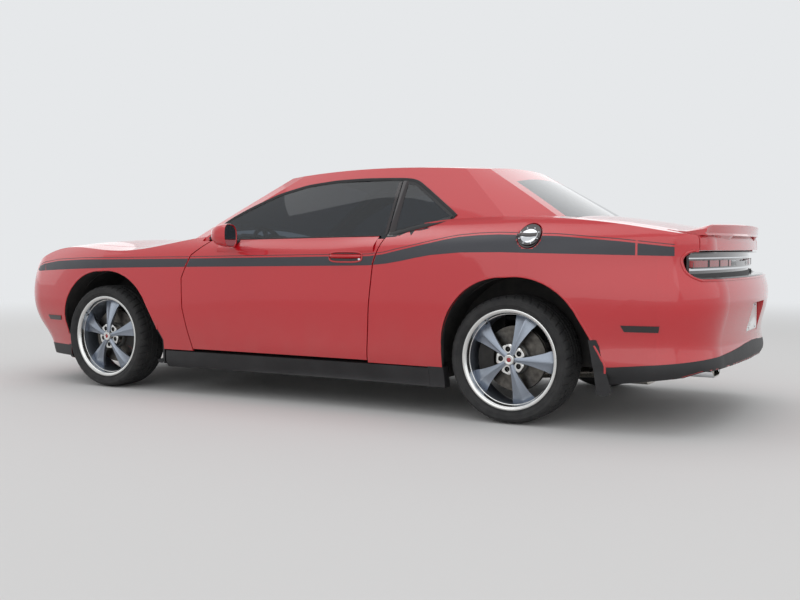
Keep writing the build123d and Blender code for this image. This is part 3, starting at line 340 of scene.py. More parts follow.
RED = red_enamel()
STRIPE = charcoal_vinyl()
BLACK_ABS = moulded_abs()
SMOKED = smoked_acrylic()
RED_LENS = red_acrylic()
SEAL = weathered_rubber("moulded_rubber", "161618", 0.6, "232325", 1.5)
TREAD = weathered_rubber("tyre_rubber", "1d1d1f", 0.78, "303030", 2.0)
GLASS = tinted_glass()
CLEAR = clear_polycarbonate()
CHROME = plated_chrome()
LIP = polished_aluminium()
SPOKE_GREY = silver_grey_lacquer()
IRON = turned_iron()
ROUGH_CASTING = sand_cast("sand_cast_aluminium", "6e6e6c", 0.6, 0.6, 3.0)
DARK_CASTING = sand_cast("oiled_cast_iron", "2c2b2a", 0.65, 0.4, 4.0)
UNDERSEAL = weathered_rubber("sprayed_underseal", "1e1f20", 0.85, "343230", 6.0)
LEATHER = seat_leather()
CARPET = looped_carpet()
PLATE_WHITE = white_plate_paint()
STEEL = brushed_steel()
MIRROR = mirror_silver()
CALIPER_RED = caliper_enamel()


# Making meshes

# Edges that turn by more than this many degrees look sharp
SHARP = 32.0


def new_piece(name, points, faces, material, body="body_shell", sharp=SHARP, at=None):
    """A mesh in the part's frame, or about the point at, riding on a body."""
    mesh = bpy.data.meshes.new(name)
    mesh.from_pydata([tuple(p) for p in points], [], faces)
    mesh.materials.append(material)
    mesh.shade_smooth()
    mesh.set_sharp_from_angle(angle=math.radians(sharp))
    made = bpy.data.objects.new(name, mesh)
    bpy.context.scene.collection.objects.link(made)
    if at is not None:
        made.location = at
    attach(made, body)
    return made


def tidy_faces(made, sharp=SHARP):
    """Turns all faces outward and joins points that fall together."""
    work = bmesh.new()
    work.from_mesh(made.data)
    bmesh.ops.remove_doubles(work, verts=work.verts, dist=1e-5)
    bmesh.ops.recalc_face_normals(work, faces=work.faces)
    work.to_mesh(made.data)
    work.free()
    made.data.shade_smooth()
    made.data.set_sharp_from_angle(angle=math.radians(sharp))
    return made


def rounded(made, width):
    """Breaks the piece's edges with a small radius."""
    bevel = made.modifiers.new("edges", "BEVEL")
    bevel.width = width
    bevel.segments = 2
    bevel.limit_method = "ANGLE"
    bevel.angle_limit = math.radians(30)
    bevel.harden_normals = True
    return made


def thickened(made, thickness, offset=-1.0):
    """Gives a sheet its thickness."""
    solid = made.modifiers.new("thickness", "SOLIDIFY")
    solid.thickness = thickness
    solid.offset = offset
    return made


def sheet_faces(rows, columns, closed_rows=False, closed_columns=False):
    """Quads over a grid of points stored row by row."""
    faces = []
    for i in range(rows if closed_rows else rows - 1):
        for j in range(columns if closed_columns else columns - 1):
            a, b = i * columns + j, i * columns + (j + 1) % columns
            c, d = ((i + 1) % rows) * columns + (j + 1) % columns, ((i + 1) % rows) * columns + j
            faces.append((a, b, c, d))
    return faces


def sheet_piece(name, grid, material, body="body_shell", thickness=0.0, offset=-1.0):
    """A sheet through a grid of points."""
    rows, columns = len(grid), len(grid[0])
    points = [p for row in grid for p in row]
    made = new_piece(name, points, sheet_faces(rows, columns), material, body)
    tidy_faces(made)
    if thickness:
        thickened(made, thickness, offset)
    return made


def lofted(name, loops, material, body="body_shell", caps=()):
    """A closed skin through loops of points. caps names the ends that get a flat face: 0 the first, -1 the last."""
    columns = len(loops[0])
    points = [p for loop in loops for p in loop]
    ends = {0: tuple(range(columns)), -1: tuple(range(len(points) - columns, len(points)))}
    faces = sheet_faces(len(loops), columns, closed_columns=True) + [ends[cap] for cap in caps]
    return tidy_faces(new_piece(name, points, faces, material, body))


def swept(name, path, section, material, body="body_shell", up=(0, 0, 1), closed=False):
    """A closed section of side and up distances, carried along a path."""
    points = [Vector(p) for p in path]
    count = len(points)
    verts = []
    for i, p in enumerate(points):
        ahead = points[(i + 1) % count] if closed or i < count - 1 else p
        behind = points[i - 1] if closed or i > 0 else p
        along = (ahead - behind).normalized()
        rise = Vector(up(p) if callable(up) else up)
        side = along.cross(rise).normalized()
        rise = side.cross(along).normalized()
        verts += [p + side * a + rise * b for a, b in section]
    faces = sheet_faces(count, len(section), closed_rows=closed, closed_columns=True)
    if not closed:
        faces.append(tuple(range(len(section) - 1, -1, -1)))
        faces.append(tuple(range((count - 1) * len(section), count * len(section))))
    return tidy_faces(new_piece(name, verts, faces, material, body))


def circle(radius, steps=12):
    """Points round a circle, as two distances from its middle."""
    return [(radius * math.cos(2 * math.pi * k / steps), radius * math.sin(2 * math.pi * k / steps))
            for k in range(steps)]


def flat_oval(width, height, steps=4):
    """A rounded rectangle section, with corners of half the height."""
    r = height / 2
    points = []
    for cx, start in ((width / 2 - r, -90), (r - width / 2, 90)):
        for k in range(steps * 2 + 1):
            angle = math.radians(start + 180 * k / (steps * 2))
            points.append((cx + r * math.cos(angle), r * math.sin(angle)))
    return points


def along(points, spacing):
    """Points at even spacing along a polyline, with its corners rounded by averaging."""
    points = np.array(points, float)
    steps = np.linalg.norm(np.diff(points, axis=0), axis=1)
    length = np.concatenate([[0], np.cumsum(steps)])
    count = max(2, int(length[-1] / spacing) + 1)
    wanted = np.linspace(0, length[-1], count)
    out = np.stack([np.interp(wanted, length, points[:, k]) for k in range(points.shape[1])], axis=1)
    for _ in range(3):
        out[1:-1] = 0.25 * out[:-2] + 0.5 * out[1:-1] + 0.25 * out[2:]
    return out


# Corners of a box are numbered with x slowest and z fastest
BOX_FACES = [(0, 1, 3, 2), (4, 6, 7, 5), (0, 4, 5, 1), (2, 3, 7, 6), (0, 2, 6, 4), (1, 5, 7, 3)]


def block_piece(name, low, high, material, body="body_shell", radius=0.004):
    """A box between two corners, with rounded edges."""
    points = [(x, y, z) for x in (low[0], high[0]) for y in (low[1], high[1]) for z in (low[2], high[2])]
    return rounded(tidy_faces(new_piece(name, points, BOX_FACES, material, body)), radius)


def skin_of(*names):
    """A ray-cast tree over the named CAD nodes."""
    points, faces = [], []
    for name in names:
        mesh = NODES[name].data
        first = len(points)
        points += [v.co.copy() for v in mesh.vertices]
        faces += [[first + i for i in p.vertices] for p in mesh.polygons]
    return BVHTree.FromPolygons(points, faces)


# How far out from the car's middle the level rays start
SIDE_START = 1.3


def from_side(skin, side, x, z):
    """Where a level ray from outside meets the skin at x and z, or None."""
    return skin.ray_cast(Vector((x, side * SIDE_START, z)), Vector((0, -side, 0)))[0]


def from_above(skin, x, y, top):
    """Where a ray straight down from top meets the skin, or None, and the skin's normal there."""
    return skin.ray_cast(Vector((x, y, top)), Vector((0, 0, -1)))[:2]


def facing(normal, way):
    """The normal, flipped where it looks away from the way given."""
    return normal if normal.dot(way) > 0 else -normal


def used_only(points, faces):
    """The points that faces use, and the faces renumbered to suit."""
    used = sorted({n for f in faces for n in f})
    order = {n: k for k, n in enumerate(used)}
    return [points[n] for n in used], [tuple(order[n] for n in f) for f in faces]


def settled(values, i, reach):
    """The middle one of the values near place i, which leaves stray ones out."""
    near = sorted(values[max(i - reach, 0):i + reach + 1])
    return near[len(near) // 2]


# Wheels. Each is drawn about its own centre as a left one, outer side at +Y, and turned round for the right side.

TREAD_STEPS = 360
TREAD_EDGE = 0.3285
GROOVES = (0.024, 0.058)
GROOVE_HALF = 0.003
GROOVE_DEPTH = 0.0075
LUG_CIRCLE = 0.0575
SPOKE_COUNT = 5
SPOKE_DEPTH = 0.026
VANE_COUNT = 36

# Profiles turned about the axle: radius and y from the wheel's middle plane
RIM_BARREL = [(0.2535, -0.099), (0.268, -0.099), (0.2715, -0.103), (0.271, -0.1065), (0.258, -0.1068),
              (0.2495, -0.104), (0.2440, -0.080), (0.2400, -0.040), (0.2385, 0.010), (0.2395, 0.045),
              (0.2425, 0.058), (0.2445, 0.069)]
RIM_LIP = [(0.2425, 0.068), (0.2452, 0.0690), (0.2460, 0.0830), (0.2478, 0.0925), (0.2530, 0.1015),
           (0.2600, 0.1058), (0.2675, 0.1070), (0.2708, 0.1058), (0.2720, 0.1030), (0.2712, 0.0998),
           (0.2680, 0.0985), (0.2540, 0.0985)]
HUB_CORE = [(0.0, 0.030), (0.074, 0.030), (0.074, 0.046), (0.070, 0.050), (0.030, 0.052), (0.0, 0.052)]
CENTRE_CAP = [(0.026, 0.060), (0.0285, 0.078), (0.0288, 0.0955), (0.0270, 0.0985), (0.0225, 0.1000),
              (0.0195, 0.0993), (0.0130, 0.0988), (0.0120, 0.0965)]
CAP_HEART = [(0.0122, 0.0968), (0.0100, 0.0978), (0.0050, 0.0984), (0.0, 0.0986)]
BRAKE_DISC = [(0.088, 0.0025), (0.088, 0.0080), (0.1765, 0.0080), (0.1780, 0.0065), (0.1780, 0.0005),
              (0.1740, -0.0010), (0.1740, -0.0210), (0.1780, -0.0215), (0.1780, -0.0205), (0.1765, -0.0220),
              (0.088, -0.0220), (0.088, -0.0165), (0.1700, -0.0165), (0.1700, 0.0025), (0.088, 0.0025)]
DISC_BELL = [(0.060, 0.0305), (0.080, 0.030), (0.0840, 0.026), (0.0865, 0.004), (0.0900, 0.0025),
             (0.0900, -0.0165), (0.0840, -0.0165), (0.060, -0.016)]
VALVE_STEM = [(0.0, 0.024), (0.0035, 0.0235), (0.0038, 0.012), (0.0050, 0.004), (0.0056, 0.0)]


def wheel_spot(x, side, turn):
    """Where a wheel stands, and how a left wheel's points turn to suit it."""
    spin = Matrix.Rotation(math.radians(turn), 4, "Y")
    face = Matrix.Identity(4) if side > 0 else Matrix.Rotation(math.pi, 4, "Z")
    return Vector((x, side * WHEEL_Y, AXLE_Z)), spin @ face


def wheel_mesh(name, points, faces, material, body, spot, sharp=SHARP):
    """A wheel piece from points about the wheel's own centre."""
    centre, turn = spot
    return tidy_faces(new_piece(name, [turn @ Vector(p) for p in points], faces, material, body, sharp, centre), sharp)


def round_the_axle(profile, steps, shape=None):
    """Points of a profile of radius and y, turned about the axle. A shape may move each radius."""
    points = []
    for r, y in profile:
        for k in range(steps):
            angle = 2 * math.pi * k / steps
            radius = shape(k, r, y) if shape else r
            points.append((radius * math.sin(angle), y, radius * math.cos(angle)))
    return points, sheet_faces(len(profile), steps, closed_columns=True)


def tread_depth(k, r, y):
    """Radius of the tyre's outside: four grooves round it and slanted ones across its blocks."""
    if r < TREAD_EDGE:
        return r
    if min(abs(abs(y) - groove) for groove in GROOVES) < GROOVE_HALF:
        return r - GROOVE_DEPTH
    slant = int(round(abs(y) * 60))
    if abs(y) > 0.028 and (k + slant) % 8 == 0:
        return r - 0.006
    if abs(y) < 0.020 and (k + int(round(y * 160))) % 8 == 4:
        return r - 0.004
    return r


def tyre_profile():
    """Radius and y from the inner bead over the tread to the outer bead."""
    wall = [(0.256, 0.098), (0.268, 0.1015), (0.2745, 0.108), (0.277, 0.1085), (0.279, 0.1075), (0.286, 0.114),
            (0.294, 0.1188), (0.2965, 0.1205), (0.299, 0.1195), (0.306, 0.1213), (0.314, 0.1208), (0.3165, 0.1218),
            (0.319, 0.1195), (0.3245, 0.1165), (0.3295, 0.1125), (0.3345, 0.105), (0.338, 0.0965)]
    crown = [(0.3405, 0.088), (0.342, 0.078), (0.3428, 0.066), (0.343, 0.0615), (0.343, 0.060), (0.343, 0.056),
             (0.343, 0.0545), (0.3436, 0.042), (0.3438, 0.0285), (0.3438, 0.026), (0.3438, 0.022), (0.3438, 0.0195),
             (0.344, 0.006)]
    outer = wall + crown
    return [(r, -y) for r, y in outer] + [(r, y) for r, y in reversed(outer)]


# A spoke from the hub out. Columns: radius, half width, ridge y, edge y
SPOKE_ROWS = [(0.028, 0.0125, 0.0900, 0.0840), (0.050, 0.0135, 0.0905, 0.0835), (0.075, 0.0165, 0.0890, 0.0810),
              (0.100, 0.0215, 0.0860, 0.0765), (0.130, 0.0295, 0.0810, 0.0700), (0.160, 0.0385, 0.0755, 0.0625),
              (0.190, 0.0480, 0.0690, 0.0540), (0.215, 0.0565, 0.0625, 0.0460), (0.232, 0.0625, 0.0560, 0.0385),
              (0.243, 0.0670, 0.0500, 0.0320)]
# Across a spoke. Columns: share of the half width, share of the way from edge up to ridge (None for its back)
SPOKE_ACROSS = [(-0.80, None), (-0.99, -0.3), (-1.0, 0.0), (-0.82, 0.10), (-0.55, 0.27), (-0.28, 0.56),
                (-0.06, 0.93), (0.06, 0.93), (0.28, 0.56), (0.55, 0.27), (0.82, 0.10), (1.0, 0.0), (0.99, -0.3),
                (0.80, None)]


def spoke_points():
    """One spoke: a ridge with a scooped face on each side, and walls that taper to its back."""
    points = []
    for r, half, ridge, edge in SPOKE_ROWS:
        for share, rise in SPOKE_ACROSS:
            y = edge - SPOKE_DEPTH if rise is None else edge + (ridge - edge) * rise
            bend = math.sqrt(max(r * r - (half * share) ** 2, 0)) if r > 0.2 else r
            points.append((half * share, y, bend))
    columns = len(SPOKE_ACROSS)
    faces = sheet_faces(len(SPOKE_ROWS), columns, closed_columns=True)
    return points, faces + [tuple(range(columns)), tuple(range(len(points) - columns, len(points)))]


def lug_pad_points():
    """The pad between two spokes: a rounded wedge with a deep pocket for its wheel nut."""
    outline = []
    for c, s in circle(1.0, 40):
        corner = (abs(c) ** 4 + abs(s) ** 4) ** -0.25
        outline.append((0.0255 * c * corner * (1.0 + 0.28 * s), 0.0245 * s * corner))
    # Columns: share of the width, share of the height, y
    loops = [[(x * wide, y, LUG_CIRCLE + z * tall) for x, z in outline]
             for wide, tall, y in ((0.9, 1.0, 0.036), (1.0, 1.0, 0.0715), (0.985, 0.985, 0.0745), (0.93, 0.93, 0.0755))]
    loops += [[(x, y, LUG_CIRCLE + z) for x, z in circle(radius, 40)]
              for radius, y in ((0.0150, 0.0752), (0.0140, 0.0738), (0.0132, 0.050))]
    points = [p for loop in loops for p in loop]
    return points, sheet_faces(len(loops), 40, closed_columns=True) + [tuple(range(len(points) - 40, len(points)))]


def nut_points():
    """A six-sided wheel nut with a coned end, standing in its pocket."""
    points = [(x, y, LUG_CIRCLE + z) for radius, y in ((0.0085, 0.050), (0.0085, 0.068), (0.0072, 0.0705),
                                                       (0.0030, 0.0715)) for x, z in circle(radius, 6)]
    return points, sheet_faces(4, 6, closed_columns=True) + [tuple(range(18, 24))]


def disc_vanes():
    """The fins between the brake disc's two faces, each a thin box along a radius."""
    points, faces = [], []
    for k in range(VANE_COUNT):
        a = 2 * math.pi * k / VANE_COUNT
        points += [(r * math.sin(a) + w * math.cos(a), y, r * math.cos(a) - w * math.sin(a))
                   for r in (0.095, 0.170) for w in (-0.0022, 0.0022) for y in (-0.0166, 0.0026)]
        faces += [tuple(8 * k + n for n in face) for face in BOX_FACES]
    return points, faces


def five_of(shape, half_step=0):
    """Five copies of a shape round the axle as one mesh."""
    points, faces = [], []
    more, their = shape()
    for i in range(SPOKE_COUNT):
        turn = Matrix.Rotation(2 * math.pi * (i + half_step / 2) / SPOKE_COUNT + math.pi, 4, "Y")
        faces += [tuple(len(points) + n for n in f) for f in their]
        points += [turn @ Vector(p) for p in more]
    return points, faces


def road_wheel(end, word, x, side, turn):
    """Tyre, barrel, polished lip, spokes, hub pads, nuts, cap and brake disc of one wheel."""
    label = f"{end}_{word}"
    body = f"wheel_{label}"
    spot = wheel_spot(x, side, turn)
    tyre = wheel_mesh(f"tyre_with_tread_{label}", *round_the_axle(tyre_profile(), TREAD_STEPS, tread_depth),
                      TREAD, body, spot, 28.0)
    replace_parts(tyre, f"tyre_{label}")
    # Columns: piece, points and faces, material, sharp angle
    for name, shape, material, sharp in (
            ("rim_barrel", round_the_axle(RIM_BARREL, 128), SPOKE_GREY, SHARP),
            ("rim_lip", round_the_axle(RIM_LIP, 160), LIP, SHARP),
            ("spokes", five_of(spoke_points), SPOKE_GREY, 24.0),
            ("hub_pads", five_of(lug_pad_points, 1), LIP, SHARP),
            ("wheel_nuts", five_of(nut_points, 1), DARK_CASTING, SHARP),
            ("hub_core", round_the_axle(HUB_CORE, 64), DARK_CASTING, SHARP),
            ("centre_cap", round_the_axle(CENTRE_CAP, 48), LIP, SHARP),
            ("cap_centre", round_the_axle(CAP_HEART, 32), RED_LENS, SHARP),
            ("brake_disc", round_the_axle(BRAKE_DISC, 120), IRON, SHARP),
            ("disc_bell", round_the_axle(DISC_BELL, 72), ROUGH_CASTING, SHARP),
            ("disc_vanes", disc_vanes(), IRON, SHARP)):
        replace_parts(wheel_mesh(f"{name}_{label}", *shape, material, body, spot, sharp), f"rim_{label}")
    stem = [Matrix.Rotation(math.radians(20), 4, "Y") @ Vector((across, 0.076 + h, 0.236 + up - h * 0.35))
            for r, h in VALVE_STEM for across, up in circle(r, 12)]
    wheel_mesh(f"valve_stem_{label}", stem, sheet_faces(len(VALVE_STEM), 12, closed_columns=True), SEAL, body, spot)


for end, x, turn in AXLES:
    for word, side in SIDES:
        road_wheel(end, word, x, side, turn)


# Finishes of the CAD panels

PANEL_FINISH = {
    "roof": RED, "quarter_left": RED, "quarter_right": RED, "fender_left": RED, "fender_right": RED,
    "front_fascia": RED, "rear_fascia": RED, "hood": RED, "decklid": RED, "door_left": RED, "door_right": RED,
    "mirror_left": RED, "mirror_right": RED, "spoiler": RED, "fuel_flap": SMOKED,
    "cowl": BLACK_ABS, "sill_covers": BLACK_ABS, "chin_spoiler": BLACK_ABS, "grille": BLACK_ABS,
    "mud_flaps": SEAL, "headlamps": CLEAR, "tail_lamps": SMOKED, "side_markers": SMOKED, "exhaust": STEEL,
    "fixed_glass": GLASS, "door_glass_left": GLASS, "door_glass_right": GLASS,
    "dashboard": BLACK_ABS, "seats": LEATHER, "parcel_shelf": CARPET, "steering_wheel": LEATHER,
    "floor_pan": UNDERSEAL, "engine_block": ROUGH_CASTING, "front_subframe": DARK_CASTING,
    "rear_axle": DARK_CASTING, "knuckle_left": DARK_CASTING, "knuckle_right": DARK_CASTING,
}
for node, finish in PANEL_FINISH.items():
    for slot in NODES[node].material_slots:
        slot.material = finish


# Films and trims laid on the panels

def edge_line(points):
    """A function that reads the second number of sorted pairs at any first number."""
    pairs = sorted(points)
    xs, zs = [p[0] for p in pairs], [p[1] for p in pairs]
    return lambda x: float(np.interp(x, xs, zs))


def spread(start, end, spacing):
    """Even numbers from start to end, no further apart than spacing."""
    return np.linspace(start, end, max(2, int(abs(end - start) / spacing) + 1))


def film(name, stations, shares, start, direction, skin, body, material, lift=0.0008, slope=1.6):
    """A thin layer on a skin. start gives where each ray starts, direction where it goes. A face that would
    bridge a gap or a step in the skin is left out."""
    direction = Vector(direction).normalized()
    points, keys, faces = [], {}, []
    for i, s in enumerate(stations):
        for j, t in enumerate(shares):
            found, normal = skin.ray_cast(Vector(start(s, t)), direction)[:2]
            if found is not None:
                keys[i, j] = len(points)
                points.append((found, facing(normal, -direction)))
    for i in range(len(stations) - 1):
        for j in range(len(shares) - 1):
            corners = [keys.get(c) for c in ((i, j), (i + 1, j), (i + 1, j + 1), (i, j + 1))]
            if None in corners:
                continue
            spots = [points[c][0] for c in corners]
            depths = [p.dot(direction) for p in spots]
            step = max(depths) - min(depths)
            wide = max((a - b).length for a in spots for b in spots)
            if step < slope * math.sqrt(max(wide ** 2 - step ** 2, 1e-12)):
                faces.append(corners)
    lifted = [spot + normal * lift for spot, normal in points]
    return tidy_faces(new_piece(name, *used_only(lifted, faces), material, body))


def side_film(name, side, low, high, x0, x1, node, body, across, spacing, slope):
    """A band of stripe film on the car's side between two edge lines of x and z."""
    below, above = edge_line(low), edge_line(high)
    return film(name, spread(x0, x1, spacing), np.linspace(0, 1, across + 1),
                lambda s, t: (s, side * SIDE_START, below(s) + (above(s) - below(s)) * t), (0, -side, 0),
                skin_of(node), body, STRIPE, STRIPE_LIFT, slope)


# The charcoal band's two edges in x and z
STRIPE_LOW = [(2.300, 0.7880), (2.265, 0.778), (2.046, 0.789), (1.758, 0.800), (1.368, 0.811), (0.850, 0.820),
              (-0.420, 0.839), (-0.535, 0.842), (-0.640, 0.852), (-0.736, 0.867), (-0.840, 0.887), (-0.926, 0.901),
              (-1.110, 0.916), (-1.346, 0.918), (-1.675, 0.911), (-1.978, 0.905), (-2.221, 0.900)]
STRIPE_HIGH = [(2.300, 0.7890), (2.270, 0.812), (2.217, 0.828), (2.044, 0.850), (1.758, 0.862), (0.886, 0.872),
               (-0.263, 0.891), (-0.420, 0.891), (-0.526, 0.894), (-0.620, 0.905), (-0.725, 0.928), (-0.908, 0.967),
               (-1.000, 0.986), (-1.082, 1.000), (-1.200, 1.009), (-1.321, 1.012), (-1.661, 1.001), (-1.972, 0.974),
               (-2.236, 0.944)]
STRIPE_LIFT = 0.0007
# The seam behind the rear wing is searched between these places of x, as a groove deeper than this
SEAM_SEARCH = (-1.955, -2.030)
SEAM_DEPTH = 0.0010
PIN_GAP = 0.0105
PIN_WIDTH = 0.0035


def side_stripes():
    """The charcoal band and the thin line over it, cut at each panel's edge."""
    over = [(x, z + PIN_GAP) for x, z in STRIPE_HIGH]
    line = [(x, z + PIN_WIDTH) for x, z in over]
    # Columns: panel, front x, rear x
    runs = [("front_fascia", 2.30, 1.98), ("fender", 2.21, 0.79), ("door", 0.84, -0.62), ("quarter", -0.52, -2.05),
            ("rear_fascia", -1.95, -2.232)]
    for word, side in SIDES:
        for panel, x0, x1 in runs:
            node = panel if panel.endswith("fascia") else f"{panel}_{word}"
            rides = node if panel == "door" else "body_shell"
            side_film(f"stripe_on_{panel}_{word}", side, STRIPE_LOW, STRIPE_HIGH, x0, x1, node, rides, 9, 0.0025, 1.7)
            side_film(f"pinstripe_on_{panel}_{word}", side, over, line, x0 - 0.01, x1, node, rides, 1, 0.003, 2.2)


def stripe_seam(word, side):
    """The band carried over the fine seam between the rear wing and the bumper."""
    skin = skin_of(f"quarter_{word}", "rear_fascia")
    low, high = edge_line(STRIPE_LOW), edge_line(STRIPE_HIGH)
    grid = []
    for t in np.linspace(0, 1, 10):
        seen = []
        for x in np.arange(*SEAM_SEARCH, -0.001):
            z = low(x) + (high(x) - low(x)) * t
            found = from_side(skin, side, x, z)
            seen.append((x, found.y * side if found is not None else 0.0, z))
        slope = (seen[-1][1] - seen[0][1]) / (seen[-1][0] - seen[0][0])
        deep = [n for n, (x, y, z) in enumerate(seen) if y < seen[0][1] + slope * (x - seen[0][0]) - SEAM_DEPTH]
        if not deep:
            continue
        a, b = seen[max(deep[0] - 2, 0)], seen[min(deep[-1] + 2, len(seen) - 1)]
        grid.append([(a[0] + (b[0] - a[0]) * share, side * (a[1] + (b[1] - a[1]) * share + 0.0006),
                      a[2] + (b[2] - a[2]) * share) for share in np.linspace(0, 1, 4)])
    if len(grid) > 1:
        sheet_piece(f"stripe_seam_{word}", grid, STRIPE)


# Where the window glass ends, in x and z: bottom line on the door, bottom line on the quarter, top line over both
BELT_LINE = [(0.714, 0.992), (0.463, 0.991), (0.000, 0.997), (-0.541, 1.006), (-0.600, 1.012)]
QUARTER_FOOT = [(-0.588, 1.013), (-0.660, 1.026), (-0.780, 1.054), (-0.900, 1.083), (-0.977, 1.105), (-0.997, 1.112)]
WINDOW_TOP = [(0.714, 0.992), (0.609, 1.103), (0.444, 1.186), (0.269, 1.262), (0.071, 1.312), (-0.147, 1.335),
              (-0.350, 1.340), (-0.536, 1.336), (-0.640, 1.332), (-0.700, 1.320), (-0.740, 1.292)]
WINDOW_TAIL = [(-0.740, 1.292), (-0.800, 1.252), (-0.900, 1.182), (-0.970, 1.134), (-0.997, 1.112)]
# The post behind the door glass: where its glass is found, and its section as x and height over the glass
POST_X = -0.614
POST_SECTION = [(-0.6045, -0.006), (-0.6045, 0.0020), (-0.607, 0.0026), (-0.640, 0.0026), (-0.644, 0.0005)]
SHOULDER_FOOT = 0.915
SHOULDER_CLEAR = 0.0006
SHOULDER_STEPS = 12


def door_shoulder(word, side):
    """The door's top edge: enamelled skin that runs up to the glass, and the rubber lip against the glass."""
    leaf = skin_of(f"door_{word}")
    pane = skin_of(f"door_glass_{word}")
    belt = edge_line(BELT_LINE)
    rows, grid, lip = [], [], []
    for x in spread(0.700, -0.578, 0.012):
        top = belt(x)
        first, under = from_side(leaf, side, x, SHOULDER_FOOT), from_side(leaf, side, x, SHOULDER_FOOT - 0.02)
        glass = from_side(pane, side, x, top)
        if first is None or under is None or glass is None:
            continue
        y0, y1 = abs(first.y) + SHOULDER_CLEAR, abs(glass.y) + 0.011
        rise = top - SHOULDER_FOOT
        # Slopes at the foot, as the door's skin has it, and at the top
        m0, m1 = (abs(first.y) - abs(under.y)) / 0.02 * rise, -0.55 * rise
        row, swell = [], 0.0
        for t in np.linspace(0, 1, SHOULDER_STEPS + 1):
            y = ((2 * t ** 3 - 3 * t ** 2 + 1) * y0 + (t ** 3 - 2 * t ** 2 + t) * m0
                 + (-2 * t ** 3 + 3 * t ** 2) * y1 + (t ** 3 - t ** 2) * m1)
            z = SHOULDER_FOOT + rise * t
            for under_it, clear in ((leaf, SHOULDER_CLEAR), (pane, 0.0020)):
                real = from_side(under_it, side, x, z)
                if real is not None and real.y * side > 0.70 and 0.05 < t < 0.95:
                    swell = max(swell, (abs(real.y) + clear - y) / math.sin(math.pi * t))
            row.append((x, y, z))
        rows.append((row, swell, y1, top))
    # Each row is raised by its neighbours' swell too, so that the shoulder has no dents
    swells = [max(r[1] for r in rows[max(i - 2, 0):i + 3]) for i in range(len(rows))]
    for i, (row, own, y1, top) in enumerate(rows):
        near = swells[max(i - 6, 0):i + 7]
        swell = max(sum(near) / len(near), own)
        x = row[0][0]
        grid.append([(x, side * (y + swell * math.sin(math.pi * k / SHOULDER_STEPS)), z)
                     for k, (x, y, z) in enumerate(row)]
                    + [(x, side * (y1 - 0.004), top + 0.0025), (x, side * (y1 - 0.008), top + 0.0005)])
        lip.append((x, side * (y1 - 0.0055), top + 0.0035))
    sheet_piece(f"door_shoulder_{word}", grid, RED, f"door_{word}")
    swept(f"belt_seal_{word}", lip, flat_oval(0.011, 0.010), SEAL, f"door_{word}")


def set_off(line, distance):
    """A side view line moved up by a distance, square to its run."""
    moved = []
    for i, (x, _, z) in enumerate(line):
        ahead, behind = line[min(i + 1, len(line) - 1)], line[max(i - 1, 0)]
        dx, dz = ahead[0] - behind[0], ahead[2] - behind[2]
        length = math.hypot(dx, dz)
        moved.append((x + dz / length * distance, z - dx / length * distance))
    return moved


def on_cabin(points, side, skin, lift):
    """The points of a side view line, laid on the cabin's skin."""
    laid = []
    for x, z in points:
        found, normal = skin.ray_cast(Vector((x, side * SIDE_START, z)), Vector((0, -side, 0)))[:2]
        if found is not None:
            laid.append(found + facing(normal, Vector((0, side, 0))) * lift)
    return laid


def window_border(word, side, table, low, high):
    """Black band along a side view line, across the painted edge of the opening and the edge of the fixed pane."""
    line = along([(x, 0.0, z) for x, z in table], 0.008)
    lines = [set_off(line, reach) for reach in np.linspace(low, high, 9)]
    film(f"quarter_border_{word}", range(len(line)), range(len(lines)),
         lambda s, t: (lines[t][s][0], side * SIDE_START, lines[t][s][1]), (0, -side, 0),
         skin_of(f"quarter_{word}", "roof", "fixed_glass"), "body_shell", BLACK_ABS, 0.0016, 6.0)


# How far the lip reaches below and above the window's foot line
LIP_BELOW = 0.010
LIP_ABOVE = 0.014


def foot_lip(word, side):
    """Rubber lip along the foot of the fixed quarter window, from the painted skin over to the glass."""
    line = along([(x, 0.0, z) for x, z in QUARTER_FOOT], 0.012)
    panel, pane = skin_of(f"quarter_{word}"), skin_of("fixed_glass")
    ends = []
    for (x0, z0), (x1, z1) in zip(set_off(line, -LIP_BELOW), set_off(line, LIP_ABOVE)):
        below, above = from_side(panel, side, x0, z0), from_side(pane, side, x1, z1)
        if below is not None and above is not None and min(below.y * side, above.y * side) > 0.55:
            ends.append((x0, below.y * side, z0, x1, above.y * side, z1))
    skin_y, glass_y = [e[1] for e in ends], [e[4] for e in ends]
    grid = []
    for i, (x0, _, z0, x1, _, z1) in enumerate(ends):
        y0, y1 = settled(skin_y, i, 6), settled(glass_y, i, 6)
        row = [(x0, y0 - 0.001, z0), (x0, y0 + 0.0022, z0 + 0.001)]
        row += [(x0 + (x1 - x0) * t, y0 + (y1 - y0) * t ** 1.5 + 0.0030, z0 + (z1 - z0) * t) for t in (0.3, 0.6, 0.9)]
        row.append((x1, y1 + 0.0005, z1))
        grid.append([(x, side * y, z) for x, y, z in row])
    if len(grid) > 1:
        sheet_piece(f"quarter_foot_lip_{word}", grid, SEAL)


